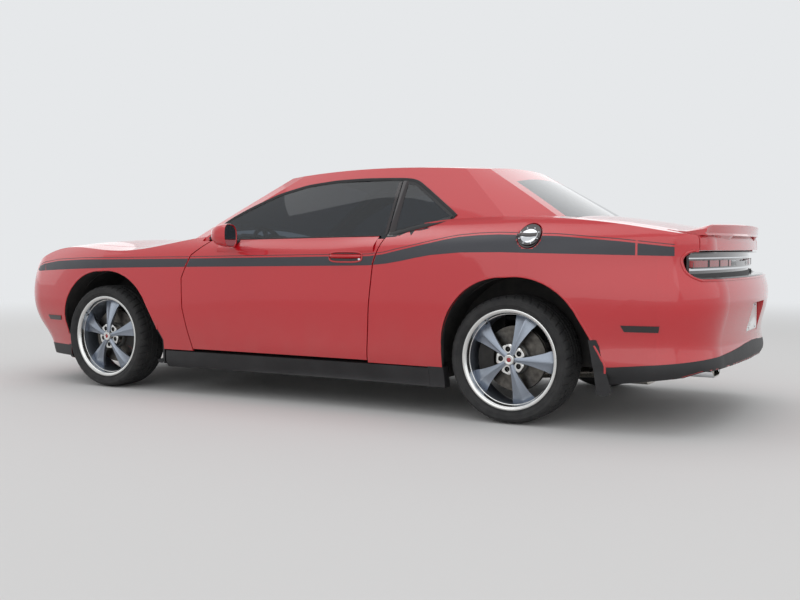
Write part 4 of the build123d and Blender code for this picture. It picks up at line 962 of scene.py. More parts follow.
def window_seals(word, side):
    """Black rubber round the side windows and the black post between them."""
    skin = skin_of(f"quarter_{word}", "roof", f"door_glass_{word}", "fixed_glass", f"fender_{word}", "cowl",
                   f"door_{word}")
    line = set_off(along([(x, 0.0, z) for x, z in WINDOW_TOP + WINDOW_TAIL[1:]], 0.02), 0.008)
    swept(f"window_top_seal_{word}", on_cabin(line, side, skin, 0.0015), flat_oval(0.020, 0.007), SEAL,
          up=(0, side, 0.25))
    window_border(word, side, WINDOW_TOP[-3:-1] + WINDOW_TAIL, -0.016, 0.006)
    foot_lip(word, side)
    skin = skin_of("fixed_glass", f"quarter_{word}")
    post = []
    for z in spread(1.010, 1.337, 0.01):
        found = from_side(skin, side, POST_X, z)
        if found is not None:
            post.append([(x, found.y + side * lift, z) for x, lift in POST_SECTION])
    sheet_piece(f"window_post_{word}", post, SMOKED)
    film(f"pane_edge_{word}", spread(1.016, 1.330, 0.01), np.linspace(-1, 1, 3),
         lambda s, t: (-0.588 + 0.009 * t, side * SIDE_START, s), (0, -side, 0), skin_of(f"door_glass_{word}"),
         f"door_{word}", SMOKED, 0.0015, 2.5)


# Walls of the window openings lie this near to the window's outline, seen from the side
REVEAL_REACH = 0.022


def paint_reveals(word, side):
    """Black paint on the narrow walls of the window openings, between the skin and the glass."""
    line = along([(x, 0.0, z) for x, z in WINDOW_TOP + WINDOW_TAIL[1:] + QUARTER_FOOT[::-1]], 0.02)

    def in_reveal(spot, looks):
        if spot.y * side < 0.5 or abs(looks.y) > 0.75 or not 0.99 < spot.z < 1.36:
            return False
        return min(math.hypot(spot.x - x, spot.z - z) for x, _, z in line) < REVEAL_REACH

    for node in (f"quarter_{word}", "roof", f"fender_{word}"):
        face_finish(node, BLACK_ABS, in_reveal)


# The sill cladding's lower and upper edge behind the door, and how proud it stands
SILL_FOOT, SILL_HEAD = 0.1715, 0.2840
SILL_PROUD = 0.0018


def sill_end(word, side):
    """Black cladding that carries the sill's line back to the wheel arch and round its edge."""
    skin = skin_of(f"quarter_{word}")
    rows = []
    for z in np.linspace(SILL_FOOT, SILL_HEAD, 14):
        row = []
        for x in np.arange(-0.9030, -1.10, -0.002):
            found = from_side(skin, side, x, z)
            if found is not None and found.y * side >= 0.80:
                row.append((x, found.y + side * SILL_PROUD, z))
            elif row:
                break
        if not row:
            continue
        x, y = row[-1][0], row[-1][1] - side * SILL_PROUD
        rows.append([row[round(k * (len(row) - 1) / 13)] for k in range(14)]
                    + [(x - 0.0055, y + side * 0.0010, z), (x - 0.0065, y - side * 0.010, z),
                       (x - 0.0065, y - side * 0.060, z)])
    low = [(x, y - side * (0.001 if k < 14 else 0), z - 0.0035) for k, (x, y, z) in enumerate(rows[0])]
    under = [(x, y - side * 0.05, z - 0.0040) for x, y, z in rows[0]]
    top = [(x, y - side * 0.0022, z + 0.0015) for x, y, z in rows[-1]]
    sheet_piece(f"sill_end_{word}", [under, low] + rows + [top], BLACK_ABS)


# Faces within this reach of an axle and inside this width belong to the wheel arch
ARCH_REACH = 0.52
ARCH_WALL_Y = 0.82
# The panel's skin beside a wheel opening lies further out than this
ARCH_SKIN_Y = 0.865


def spray_inside_arch(node, x, side):
    """Black underbody spray on the faces of a panel that look at the wheel or lie behind it."""
    def in_arch(spot, looks):
        away = Vector((spot.x - x, 0.0, spot.z - AXLE_Z))
        if away.length > ARCH_REACH or spot.y * side < 0.4:
            return False
        return spot.y * side < ARCH_WALL_Y or (looks.dot(away) < -0.35 * away.length and abs(looks.y) < 0.8)

    face_finish(node, UNDERSEAL, in_arch)


def face_finish(node, material, chosen):
    """Gives a finish to the faces of a panel that a test of place and outward direction picks."""
    panel = NODES[node]
    panel.data.materials.append(material)
    slot = len(panel.data.materials) - 1
    turn = panel.matrix_world.to_3x3()
    for face in panel.data.polygons:
        if face.material_index == 0 and chosen(panel.matrix_world @ face.center, turn @ face.normal):
            face.material_index = slot


def trim_cabin():
    """Inner faces of the doors, wings, roof and floor: moulded door cards, dark headlining and carpet."""
    for word, side in SIDES:
        face_finish(f"door_{word}", BLACK_ABS, lambda spot, looks: looks.y * side < -0.6)
        face_finish(f"quarter_{word}", BLACK_ABS, lambda spot, looks: looks.y * side < -0.3 and spot.x > -1.56
                    and abs(spot.y) < 0.92)
    face_finish("roof", CARPET, lambda spot, looks: looks.z < -0.3 and spot.z > 1.05)
    face_finish("floor_pan", CARPET, lambda spot, looks: looks.z > 0.3 and -1.3 < spot.x < 1.09 and abs(spot.y) < 0.80)


# Flange of each mud flap on the panel's side. Columns: height, front edge x, rear edge x
REAR_FLANGE = [(0.474, -1.826, -1.868), (0.440, -1.832, -1.884), (0.400, -1.840, -1.892), (0.340, -1.851, -1.912),
               (0.290, -1.860, -1.928), (0.240, -1.867, -1.942), (0.212, -1.871, -1.942), (0.200, -1.874, -1.938),
               (0.194, -1.878, -1.925)]
FRONT_FLANGE = [(0.372, 1.130, 1.118), (0.340, 1.121, 1.090), (0.290, 1.110, 1.066), (0.240, 1.100, 1.054),
                (0.205, 1.094, 1.048), (0.192, 1.088, 1.056)]
FLAP_THICK = 0.004


def arch_lip(label, x, side, nodes, start_angle, end_angle):
    """Rolled edge of the sheet metal round a wheel opening."""
    skin = skin_of(*nodes)
    radii, widths, ways = [], [], []
    for a in np.radians(spread(start_angle, end_angle, 2.0)):
        way = Vector((math.cos(a), 0, math.sin(a)))
        for r in np.arange(0.350, 0.540, 0.0015):
            found = from_side(skin, side, x + way.x * r, AXLE_Z + way.z * r)
            if found is not None and found.y * side > ARCH_SKIN_Y:
                radii.append(r)
                widths.append(found.y)
                ways.append(way)
                break
    hub = Vector((x, 0, AXLE_Z))
    path = [hub + way * (settled(radii, i, 2) + 0.0045) + Vector((0, settled(widths, i, 2), 0))
            for i, way in enumerate(ways)]
    if len(path) > 4:
        swept(f"arch_lip_{label}", path, flat_oval(0.011, 0.0050), RED, up=(0, side, 0))


def flap_flange(label, table, side, nodes):
    """The part of a mud flap that shows outside: it lies on the panel and hangs on below it."""
    skin = skin_of(*nodes)
    grid, y = [], None
    for step in np.linspace(0, len(table) - 1, 25):
        n = min(int(step), len(table) - 2)
        z, x0, x1 = (a + (b - a) * (step - n) for a, b in zip(table[n], table[n + 1]))
        places = x0 + (x1 - x0) * np.linspace(0, 1, 6)
        found = [from_side(skin, side, x, z) for x in places]
        seen = [f.y * side for f in found if f is not None and f.y * side > 0.80]
        if seen and (y is None or max(seen) + 2 * FLAP_THICK > y):
            y = max(seen) + FLAP_THICK
        grid.append([(x, side * (y - 0.002 * t), z) for x, t in zip(places, np.linspace(0, 1, 6))])
    flange = sheet_piece(f"flap_flange_{label}", grid, SEAL)
    rounded(thickened(flange, FLAP_THICK, -side), 0.001)


# Edges of the black valance: angle from straight back in degrees, height. The angles are measured about this x.
TAIL_MIDDLE_X = -1.95
VALANCE_TOP = [(0, 0.428), (20, 0.422), (40, 0.406), (58, 0.388), (75, 0.362), (90, 0.340), (108, 0.328)]
VALANCE_FOOT = [(0, 0.342), (20, 0.338), (40, 0.322), (50, 0.312), (58, 0.303), (75, 0.280), (90, 0.252),
                (108, 0.247)]


def backward(degrees):
    """The level way from the car's middle to its tail, swung by an angle towards the left."""
    return Vector((-math.cos(math.radians(degrees)), math.sin(math.radians(degrees)), 0))


def rear_valance():
    """Black lower valance of the rear bumper, wrapped from arch to arch."""
    skin = skin_of("rear_fascia", "quarter_left", "quarter_right")
    top, foot = edge_line(VALANCE_TOP), edge_line(VALANCE_FOOT)

    def bumper(out, z):
        middle = Vector((TAIL_MIDDLE_X, 0, z))
        found, normal = skin.ray_cast(middle + out * 1.6, -out)[:2]
        return (found, facing(normal, out)) if found is not None and (found - middle).dot(out) > 0.45 else None

    points, keys, faces = [], {}, []
    angles, shares = spread(-106, 106, 1.0), [-0.12, -0.06] + list(np.linspace(0, 1, 12))
    for i, a in enumerate(angles):
        out, high = backward(a), top(abs(a))
        lowest = foot(abs(a)) - 0.025
        while lowest < high - 0.02 and bumper(out, lowest) is None:
            lowest += 0.001
        for j, t in enumerate(shares):
            found = bumper(out, lowest + 0.0005 + (high - lowest - 0.0005) * max(t, 0.0))
            if found is None:
                continue
            keys[i, j] = len(points)
            # The two rows under the foot are tucked in beneath the bumper
            tuck = Vector((0, 0, -0.0030)) - out * (0.0005 if t > -0.1 else 0.030) if t < 0 else Vector()
            points.append(found[0] + found[1] * 0.0016 + tuck)
    for i in range(len(angles) - 1):
        for j in range(len(shares) - 1):
            corners = [keys.get(c) for c in ((i, j), (i + 1, j), (i + 1, j + 1), (i, j + 1))]
            if None not in corners and max((points[a] - points[b]).length for a in corners for b in corners) < 0.075:
                faces.append(corners)
    tidy_faces(new_piece("rear_valance", *used_only(points, faces), BLACK_ABS))


# Tail lamps

RECESS_Z = 0.852
LAMP_Z = 0.860
LAMP_MIDDLE_X = -1.9
LAMP_SWING = 66


def lamp_face(z, y0, y1):
    """Points on the lamp panel at one height, from end to end round both corners."""
    skin = skin_of("tail_lamps")
    line = []
    for a in spread(-LAMP_SWING, LAMP_SWING, 0.75):
        found = skin.ray_cast(Vector((LAMP_MIDDLE_X, 0, z)) + backward(a) * 1.2, -backward(a))[0]
        if found is not None and y0 <= found.y <= y1 and found.x < -2.285:
            line.append(found)
    return line


def lamp_bar(name, z, height, proud, y0, y1, material, depth=0.006):
    """A bar laid on the lamp panel between two places of y."""
    section = [(proud, -height / 2), (proud, height / 2), (-depth, height / 2), (-depth, -height / 2)]
    line = lamp_face(z, *sorted((y0, y1)))
    rows = []
    for i, p in enumerate(line):
        way = (line[min(i + 1, len(line) - 1)] - line[max(i - 1, 0)]).normalized()
        out = facing(way.cross(Vector((0, 0, 1))), p - Vector((LAMP_MIDDLE_X, 0, z)))
        rows.append([p + out * step + Vector((0, 0, rise)) for step, rise in section])
    return rounded(lofted(name, rows, material, caps=(0, -1)), 0.001)


def tail_lamp_panel():
    """Smoked lens with two bright strips, red lenses each side of a plain middle, and a dark bevel below."""
    end = 0.802
    lamp_bar("lamp_strip_upper", 0.888, 0.008, 0.0030, -end, end, CHROME)
    lamp_bar("lamp_strip_lower", 0.832, 0.014, 0.0040, -end, end, CHROME)
    for word, side in SIDES:
        lamp_bar(f"lamp_red_{word}", LAMP_Z, 0.034, 0.0010, side * 0.250, side * end, RED_LENS)
        for k, y in enumerate((0.300, 0.450, 0.600)):
            lamp_bar(f"lamp_divider_{word}_{k}", LAMP_Z, 0.036, 0.0016, side * y - 0.014, side * y + 0.014,
                     BLACK_ABS, 0.004)
        lamp_bar(f"reversing_lamp_{word}", LAMP_Z, 0.028, 0.0012, side * 0.130, side * 0.240, CLEAR)
    lamp_bar("lamp_bevel", 0.8005, 0.020, 0.0030, -end, end, BLACK_ABS)


def slot_outline(height, width, corner, steps=10):
    """Points of a rounded rectangle of y and z about its middle."""
    points = []
    # Columns: sign of y, sign of z, start angle
    for sy, sz, start in ((1, 1, 0), (-1, 1, 90), (-1, -1, 180), (1, -1, 270)):
        for k in range(steps + 1):
            a = math.radians(start + 90 * k / steps)
            points.append((sy * (width / 2 - corner) + corner * math.cos(a),
                           sz * (height / 2 - corner) + corner * math.sin(a)))
    return points


def recess_rim():
    """The lamp recess's rolled edge, which catches the light all round."""
    skin = skin_of("rear_fascia", "decklid", "quarter_left", "quarter_right")
    path = []
    outline = slot_outline(0.150, 1.634, 0.056)
    for (y0, z0), (y1, z1) in zip(outline, outline[1:] + outline[:1]):
        count = max(1, int(math.hypot(y1 - y0, z1 - z0) / 0.02))
        for k in range(count):
            y, z = y0 + (y1 - y0) * k / count, z0 + (z1 - z0) * k / count
            found = skin.ray_cast(Vector((-2.9, y, RECESS_Z + z)), Vector((1, 0, 0)))[0]
            if found is not None and found.x < -2.2:
                path.append(found + Vector((-0.0005, 0, 0)))
    swept("lamp_recess_rim", path, circle(0.0055, 10), RED, up=(1, 0, 0), closed=True)


# Licence plate

PLATE_Z = 0.560
PLATE_X = -2.458
PLATE_BOLT_Y = 0.0889
PLATE_BOLT_Z = 0.0603
# Profile of a bolt's head: radius, x behind the plate's face, with its top's x last
PLATE_BOLT = [(0.0045, -0.0068), (0.0058, -0.0052), (0.0060, -0.0030)]
PLATE_BOLT_TOP = -0.0072


def licence_plate():
    """A blank white plate with a rolled edge, four bolts and two lamps over it."""
    tall, wide = 0.148, 0.302
    rows = [[(PLATE_X + x, y, PLATE_Z + z) for y, z in slot_outline(tall - 2 * shrink, wide - 2 * shrink, 0.010)]
            for shrink, x in ((0.0, -0.0015), (0.0006, -0.0032), (0.004, -0.0036), (0.006, -0.0022))]
    lofted("licence_plate", rows, PLATE_WHITE, caps=(-1, 0))
    for i, y in enumerate((-PLATE_BOLT_Y, PLATE_BOLT_Y)):
        for j, z in enumerate((-PLATE_BOLT_Z, PLATE_BOLT_Z)):
            points = [(PLATE_X + x, y + a, PLATE_Z + z + b) for r, x in PLATE_BOLT for a, b in circle(r, 20)]
            points.append((PLATE_X + PLATE_BOLT_TOP, y, PLATE_Z + z))
            faces = sheet_faces(3, 20, closed_columns=True) + [(k, (k + 1) % 20, 60) for k in range(20)]
            tidy_faces(new_piece(f"plate_bolt_{i}{j}", points, faces, CHROME))
    for i, y in enumerate((-0.08, 0.08)):
        block_piece(f"plate_lamp_{i}", (PLATE_X - 0.008, y - 0.022, 0.634), (PLATE_X + 0.004, y + 0.022, 0.643), CLEAR,
                    radius=0.003)


# Exhaust tips

TIP_X = -2.250
TIP_REACH = 0.150
TIP_Y = 0.610
TIP_Z = 0.318
TIP_SIZE = (0.066, 0.150, 0.030)
# How far the mouth leans back for each metre of height
TIP_LEAN = 0.10


def exhaust_tip(word, side):
    """A wide flat tip of polished steel with a rolled mouth and a dark bore."""
    tall, wide, corner = TIP_SIZE
    mouth = TIP_X - TIP_REACH
    rows = []
    for grow, x in ((0.0, TIP_X), (0.0, mouth + 0.004), (-0.001, mouth + 0.0005), (-0.004, mouth),
                    (-0.0062, mouth + 0.003), (-0.0066, TIP_X - 0.02)):
        lean = TIP_LEAN if x < TIP_X - 0.05 else 0.0
        rows.append([(x + (z + tall / 2) * lean, side * TIP_Y + y, TIP_Z + z)
                     for y, z in slot_outline(tall + 2 * grow, wide + 2 * grow, corner + grow)])
    lofted(f"exhaust_tip_{word}", rows, CHROME)
    inner = [(TIP_X - 0.055, side * TIP_Y + y, TIP_Z + z)
             for y, z in slot_outline(tall - 0.014, wide - 0.014, corner - 0.007)]
    tidy_faces(new_piece(f"exhaust_bore_{word}", inner, [tuple(range(len(inner)))], DARK_CASTING))


# Fuel cap

CAP_AT = (-1.500, 1.004)
CAP_BOLT_CIRCLE = 0.0540
CAP_BOLTS = 8
# Profiles: radius, height over the flap's face
CAP_RING = [(0.0618, 0.000), (0.0618, 0.003), (0.0600, 0.0046), (0.0480, 0.0050), (0.0465, 0.0030)]
CAP_DISC = [(0.0462, 0.0015), (0.0458, 0.0044), (0.0440, 0.0056), (0.0300, 0.0074), (0.0120, 0.0082)]
CAP_BOLT = [(0.0032, -0.001), (0.0032, 0.0008), (0.0022, 0.0017)]
# Half length, half width and sag of the dark band across the disc
CAP_BAND = (0.0445, 0.0118, 0.007)


def fuel_cap():
    """Round filler door: dark ring with small bolts, bright split disc with a curved dark band."""
    skin = skin_of("fuel_flap")
    x0, z0 = CAP_AT
    east, west, above, below = (from_side(skin, 1, x0 + dx, z0 + dz).y
                                for dx, dz in ((0.03, 0), (-0.03, 0), (0, 0.03), (0, -0.03)))
    normal = Vector((-(east - west) / 0.06, 1, -(above - below) / 0.06)).normalized()
    across = facing(Vector((1, 0, 0)).cross(normal).cross(normal).normalized(), Vector((1, 0, 0)))
    up = facing(normal.cross(across), Vector((0, 0, 1)))
    centre = Vector((x0, from_side(skin, 1, x0, z0).y, z0))

    def spot(a, b, height):
        flat = centre + across * a + up * b
        found = skin.ray_cast(flat + normal * 0.05, -normal)[0]
        real = (found - flat).dot(normal) if found is not None else 0.0
        return flat + normal * (max(real, -0.004) + height)

    def ring(name, profile, material, caps=()):
        lofted(name, [[spot(a, b, h) for a, b in circle(r, 64)] for r, h in profile], material, "fuel_flap", caps)

    ring("filler_ring", CAP_RING, SMOKED)
    ring("filler_disc", CAP_DISC, CHROME, (-1,))
    for k, (a, b) in enumerate(circle(CAP_BOLT_CIRCLE, 2 * CAP_BOLTS)[1::2]):
        mid = spot(a, b, 0.005)
        lofted(f"filler_bolt_{k}", [[mid + across * c + up * d + normal * h for c, d in circle(r, 10)]
                                    for r, h in CAP_BOLT], CHROME, "fuel_flap", (-1,))
    long, half, sag = CAP_BAND
    band = []
    for share in np.linspace(-1, 1, 19):
        mid = 0.006 - sag * (1 - share ** 2)
        row = []
        for t in (-1, -0.5, 0, 0.5, 1):
            a, b = long * share, mid + half * t
            r = math.hypot(a, b)
            kept = min(r, 0.0452) / max(r, 1e-9)
            row.append(spot(a * kept, b * kept, 0.0094 - 0.0030 * (r * kept / 0.0455) ** 2))
        band.append(row)
    sheet_piece("filler_band", band, SMOKED, "fuel_flap", 0.001, 1.0)


# Door handles

HANDLE_X = (-0.262, -0.478)
HANDLE_Z = 0.8885
HANDLE_HALF = 0.027
# Profile of the lock: radius, height over the door's skin
LOCK = [(0.0085, 0.000), (0.0085, 0.0030), (0.0070, 0.0042), (0.0030, 0.0042)]


def door_handle(word, side):
    """Pull handle: a dark film on the stripe that paints the shade of a cup, with a red surround, a red bar across it
    and a lock.
    """
    body = f"door_{word}"
    skin = skin_of(body)
    x0, x1 = HANDLE_X

    def cup_shade_edge(share):
        return HANDLE_HALF * (1 - abs(2 * share - 1) ** 6) ** 0.5

    # The cup is not sunk into the skin: this dark film is painted shade in its place.
    film(f"handle_cup_painted_shade_{word}", x0 + (x1 - x0) * (0.5 - 0.5 * np.cos(np.linspace(0, math.pi, 41))),
         np.linspace(-1, 1, 9),
         lambda s, t: (s, side * SIDE_START, HANDLE_Z + t * cup_shade_edge(min(1.0, (s - x0) / (x1 - x0)))),
         (0, -side, 0), skin, body, SMOKED, 0.0016, 3.0)
    surround = []
    for c, s in circle(1.0, 48):
        x = (x0 + x1) / 2 + 0.111 * math.copysign(abs(c) ** 0.55, c)
        z = HANDLE_Z + 0.0290 * math.copysign(abs(s) ** 0.55, s)
        surround.append((x, from_side(skin, side, x, z).y + side * 0.0022, z))
    swept(f"handle_surround_{word}", surround, flat_oval(0.0095, 0.0060), RED, body, up=(0, side, 0), closed=True)
    bar, z = [], HANDLE_Z + 0.006
    for share in np.linspace(0, 1, 25):
        x = x0 - 0.004 + (x1 - x0 + 0.008) * share
        lift = 0.004 + 0.017 * max(0.0, math.sin(math.pi * share)) ** 0.45
        bar.append((x, from_side(skin, side, x, z).y + side * lift, z))
    swept(f"handle_bar_{word}", bar, flat_oval(0.012, 0.026, 5), RED, body)
    lock = from_side(skin, side, x1 + 0.014, HANDLE_Z - 0.012)
    lofted(f"handle_lock_{word}", [[(lock.x + a, lock.y + side * h, lock.z + b) for a, b in circle(r, 20)]
                                   for r, h in LOCK], CHROME, body, (-1,))


# Door mirrors

MIRROR_FOOT_WIDTH = 0.052
# How far the shell's outer end swings forward, so that the glass looks at the driver
MIRROR_SWING = 0.088
# Columns: share of the way back, half height share, outward reach share
MIRROR_STATIONS = [(0.00, 0.10, 0.10), (0.04, 0.45, 0.50), (0.12, 0.68, 0.74), (0.28, 0.86, 0.90), (0.50, 0.96, 0.98),
                   (0.78, 1.00, 1.00), (1.00, 0.99, 0.99)]
# The lip rolled in round the glass. Columns: x from the back edge, size share, inset
MIRROR_LIP = [(-0.0015, 0.985, 0.001), (0.004, 0.97, 0.004), (0.014, 0.96, 0.005)]
# The foot. Columns: y from the inner end, rise, half length
MIRROR_FOOT = [(0.004, -0.008, 0.030), (0.020, -0.008, 0.027), (0.040, -0.004, 0.024), (0.066, 0.000, 0.020)]


def door_mirror(word, side):
    """Enamelled shell on a black foot, hollow at the back round the silvered glass."""
    low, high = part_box(f"mirror_{word}")
    y_in, y_out = sorted((abs(low[1]), abs(high[1])))
    x_front, x_back = high[0] - 0.002, low[0] + 0.016
    y_mid, z_mid = (y_in + MIRROR_FOOT_WIDTH + y_out) / 2, (low[2] + high[2]) / 2 + 0.004
    y_half, z_half = (y_out - y_in - MIRROR_FOOT_WIDTH) / 2, (high[2] - low[2]) / 2 - 0.004

    def outline(x, up, reach, inset=0.0):
        loop = []
        for c, s in circle(1.0, 36):
            power = (abs(c) ** 2.8 + abs(s) ** 2.8) ** (-1 / 2.8)
            y = y_mid + (y_half * reach - inset) * c * power
            z = z_mid + (z_half * up - inset) * s * power + 0.006 * c
            back_share = min(1.0, max(0.0, (x_front - x) / (x_front - x_back)))
            swing = MIRROR_SWING * (y_out - y) / (y_out - y_in) * back_share ** 1.5
            loop.append((x + swing, side * y, z))
        return loop

    rows = [outline(x_front + (x_back - x_front) * share, up, reach) for share, up, reach in MIRROR_STATIONS]
    rows += [outline(x_back + x, share, share, inset) for x, share, inset in MIRROR_LIP]
    body = f"door_{word}"
    shell = lofted(f"mirror_shell_{word}", rows, RED, body, (0,))
    glass = new_piece(f"mirror_glass_{word}", outline(x_back + 0.010, 0.95, 0.95, 0.0055), [tuple(range(36))],
                      MIRROR, body)
    loops = [[(x_back + 0.104 + half * c, side * (y_in + y), z_mid - 0.032 + rise + 0.020 * s)
              for c, s in circle(1.0, 16)] for y, rise, half in MIRROR_FOOT]
    foot = lofted(f"mirror_foot_{word}", loops, BLACK_ABS, body, (0, -1))
    for piece in (shell, glass, foot):
        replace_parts(piece, f"mirror_{word}")


# Duck tail

# Columns: share along the chord from the front, height of the top over the foot line
TAIL_CHORD = [(0.00, 0.0030), (0.08, 0.0080), (0.25, 0.0150), (0.50, 0.0250), (0.75, 0.0370), (0.90, 0.0445),
              (0.97, 0.0475), (1.00, 0.0440)]
# The trailing edge's rearmost x, and how far it bows forward over a half width
DUCK_EDGE_X = -2.4405
DUCK_BOW = 0.088
DUCK_HALF = 0.800
DUCK_REACH = 0.732
DUCK_LENGTH = 0.195
DUCK_TOP = 1.0655


def duck_tail():
    """Spoiler across the deck lid: a ramp that rises to a rolled edge, its ends turned down to the lid."""
    skin = skin_of("decklid")
    radius = (DUCK_HALF ** 2 + DUCK_BOW ** 2) / (2 * DUCK_BOW)
    rows = []
    for share in np.linspace(-1, 1, 61):
        y = DUCK_REACH * share
        tip = 1 - max(0.0, (abs(share) - 0.90) / 0.10) ** 2 * 0.75
        back = DUCK_EDGE_X + radius - math.sqrt(radius ** 2 - y ** 2)
        top, under = [], []
        for along_chord, rise in TAIL_CHORD:
            x = back + DUCK_LENGTH * (1 - along_chord)
            found = from_above(skin, x, y, 1.3)[0]
            ramp = 1.008 + 0.009 * (1 - share ** 2) + rise * 1.02 * (0.45 + 0.55 * tip)
            if found is not None and found.z > 0.98:
                top.append((x, y, min(max(ramp, found.z + 0.002), DUCK_TOP)))
                under.append((x, y, min(found.z - 0.001, 1.03)))
            else:
                top.append((x, y, min(ramp, DUCK_TOP)))
                under.append((x, y, 1.004))
        lip = [(back + 0.003, y, top[-1][2] - 0.014), (back + 0.010, y, 1.016)]
        rows.append(top + lip + under[::-1])
    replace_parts(lofted("duck_tail", rows, RED, "decklid", (0, -1)), "spoiler")


# Wipers

WIPER_RUBBER = [(-0.002, -0.005), (0.002, -0.005), (0.004, 0.004), (-0.004, 0.004)]
# Profile of the cap on the arm's pivot: radius, height over the cowl
WIPER_CAP = [(0.013, -0.004), (0.013, 0.010), (0.009, 0.014), (0.003, 0.015)]


def wiper(word, side):
    """Wiper arm from the cowl with its blade lying on the screen."""
    skin = skin_of("fixed_glass", "cowl", "roof")
    pivot = (0.985, side * 0.16 - 0.25)
    tip = (0.860, side * 0.16 + 0.36)
    blade = []
    for share in np.linspace(0, 1, 24):
        x = pivot[0] - 0.035 + (tip[0] - pivot[0] + 0.035) * share ** 1.4
        y = pivot[1] + 0.04 + (tip[1] - pivot[1] - 0.04) * share
        found, normal = from_above(skin, x, y, 1.6)
        blade.append(found + facing(normal, Vector((0, 0, 1))) * 0.006)
    swept(f"wiper_rubber_{word}", blade, WIPER_RUBBER, SEAL)
    swept(f"wiper_frame_{word}", [p + Vector((0.004, 0, 0.008)) for p in blade[2:-2]], flat_oval(0.009, 0.006),
          BLACK_ABS)
    base = from_above(skin, *pivot, 1.6)[0]
    arm = along([base + Vector((0, 0, 0.006)), base + Vector((-0.01, 0.06, 0.020)), blade[12] + Vector((0, 0, 0.014))],
                0.012)
    swept(f"wiper_arm_{word}", [tuple(p) for p in arm], flat_oval(0.011, 0.007), BLACK_ABS)
    lofted(f"wiper_pivot_{word}", [[(base.x + a, base.y + b, base.z + h) for a, b in circle(r, 20)]
                                   for r, h in WIPER_CAP], BLACK_ABS, caps=(-1,))


# Brake calipers

CALIPER_Y = WHEEL_Y + 0.008
CALIPER_HALF_ANGLE = 27.0
CALIPER_INNER = 0.122
# Section: radius from the axle, y from the caliper's place
CALIPER_SECTION = [(0.122, 0.0095), (0.124, 0.0195), (0.150, 0.0215), (0.196, 0.0205), (0.2065, 0.0140),
                   (0.2075, -0.0400), (0.2000, -0.0560), (0.124, -0.0560), (0.122, -0.0370), (0.1845, -0.0360),
                   (0.1850, 0.0100)]


def caliper_shell(label, x, side, ahead, body):
    """Red caliper over the disc: an arched body with a slot for the disc, narrower at its ends."""
    rows = []
    for share in np.linspace(-1, 1, 17):
        a = math.radians(90 * ahead + CALIPER_HALF_ANGLE * share)
        swell = 1.0 - 0.10 * abs(share)
        radii = [CALIPER_INNER + (r - CALIPER_INNER) * swell for r, _ in CALIPER_SECTION]
        rows.append([(x + radius * math.sin(a), side * (CALIPER_Y + y), AXLE_Z + radius * math.cos(a))
                     for radius, (_, y) in zip(radii, CALIPER_SECTION)])
    lofted(f"caliper_{label}", rows, CALIPER_RED, body, (0, -1))


# Seats

CUSHION_STEPS = 41
SEAM_WIDTH = 0.030
FRONT_SEAT_Y = 0.375
REAR_SEAT_Y = 0.345
# Channels across a cushion, as shares of its half width
FRONT_CHANNELS = (-0.52, -0.18, 0.18, 0.52)
REAR_CHANNELS = (-0.45, 0.0, 0.45)


def seat_cushion(name, middle, size, crown, channels, tilt=0.0, waist=0.0):
    """A crowned closed cushion with rounded sides and sewn channels. Sizes are across y, along x and up."""
    wide, deep, tall = size
    top, under = [], []
    for u in np.linspace(-1, 1, CUSHION_STEPS):
        for v in np.linspace(-1, 1, CUSHION_STEPS):
            rim = (1 - abs(u) ** 5) * (1 - abs(v) ** 5)
            rise = crown * (1 - u * u) * (1 - v * v)
            seam = sum(math.exp(-((v - c) / SEAM_WIDTH) ** 2) for c in channels) * 0.010 * rim
            cross = sum(math.exp(-((u - c) / SEAM_WIDTH) ** 2) for c in (-0.72, 0.72)) * 0.008 * rim
            x = u * deep / 2 * (1 - 0.035 * (1 - abs(v)) * abs(u) ** 4)
            y = v * wide / 2 * (1 - waist * abs(u))
            top.append((x, y, tall / 2 * rim ** 0.30 + rise - seam - cross))
            side_rim = (1 - min(1, abs(2 * x / deep)) ** 5) * (1 - min(1, abs(2 * y / wide)) ** 5)
            under.append((x, y, -tall / 2 * side_rim ** 0.30))
    faces = sheet_faces(CUSHION_STEPS, CUSHION_STEPS)
    faces += [tuple(len(top) + n for n in reversed(f)) for f in faces]
    turn = Matrix.Rotation(math.radians(tilt), 3, "Y")
    made = tidy_faces(new_piece(name, [turn @ Vector(p) + Vector(middle) for p in top + under], faces, LEATHER))
    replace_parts(made, "seats")


def seats():
    """Two front seats and a rear bench, in stitched leather."""
    for word, side in SIDES:
        y = side * FRONT_SEAT_Y
        seat_cushion(f"front_seat_base_{word}", (0.000, y, 0.400), (0.50, 0.50, 0.150), 0.020, FRONT_CHANNELS, -6)
        seat_cushion(f"front_seat_back_{word}", (-0.290, y, 0.700), (0.48, 0.56, 0.120), 0.022, FRONT_CHANNELS,
                     -110, 0.06)
        seat_cushion(f"headrest_{word}", (-0.405, y, 0.985), (0.26, 0.15, 0.085), 0.010, (0.0,), -108)
        for k, off in enumerate((-0.06, 0.06)):
            post = [(-0.385, y + off, 0.90), (-0.400, y + off, 0.96)]
            swept(f"headrest_post_{word}_{k}", post, circle(0.006), CHROME, up=(1, 0, 0))
        block_piece(f"seat_frame_{word}", (-0.20, y - 0.20, 0.226), (0.20, y + 0.20, 0.330), BLACK_ABS, radius=0.02)
        y = side * REAR_SEAT_Y
        seat_cushion(f"rear_seat_base_{word}", (-0.770, y, 0.405), (0.50, 0.42, 0.120), 0.016, REAR_CHANNELS, -5)
        seat_cushion(f"rear_seat_back_{word}", (-0.945, y, 0.660), (0.50, 0.44, 0.100), 0.016, REAR_CHANNELS,
                     -113)


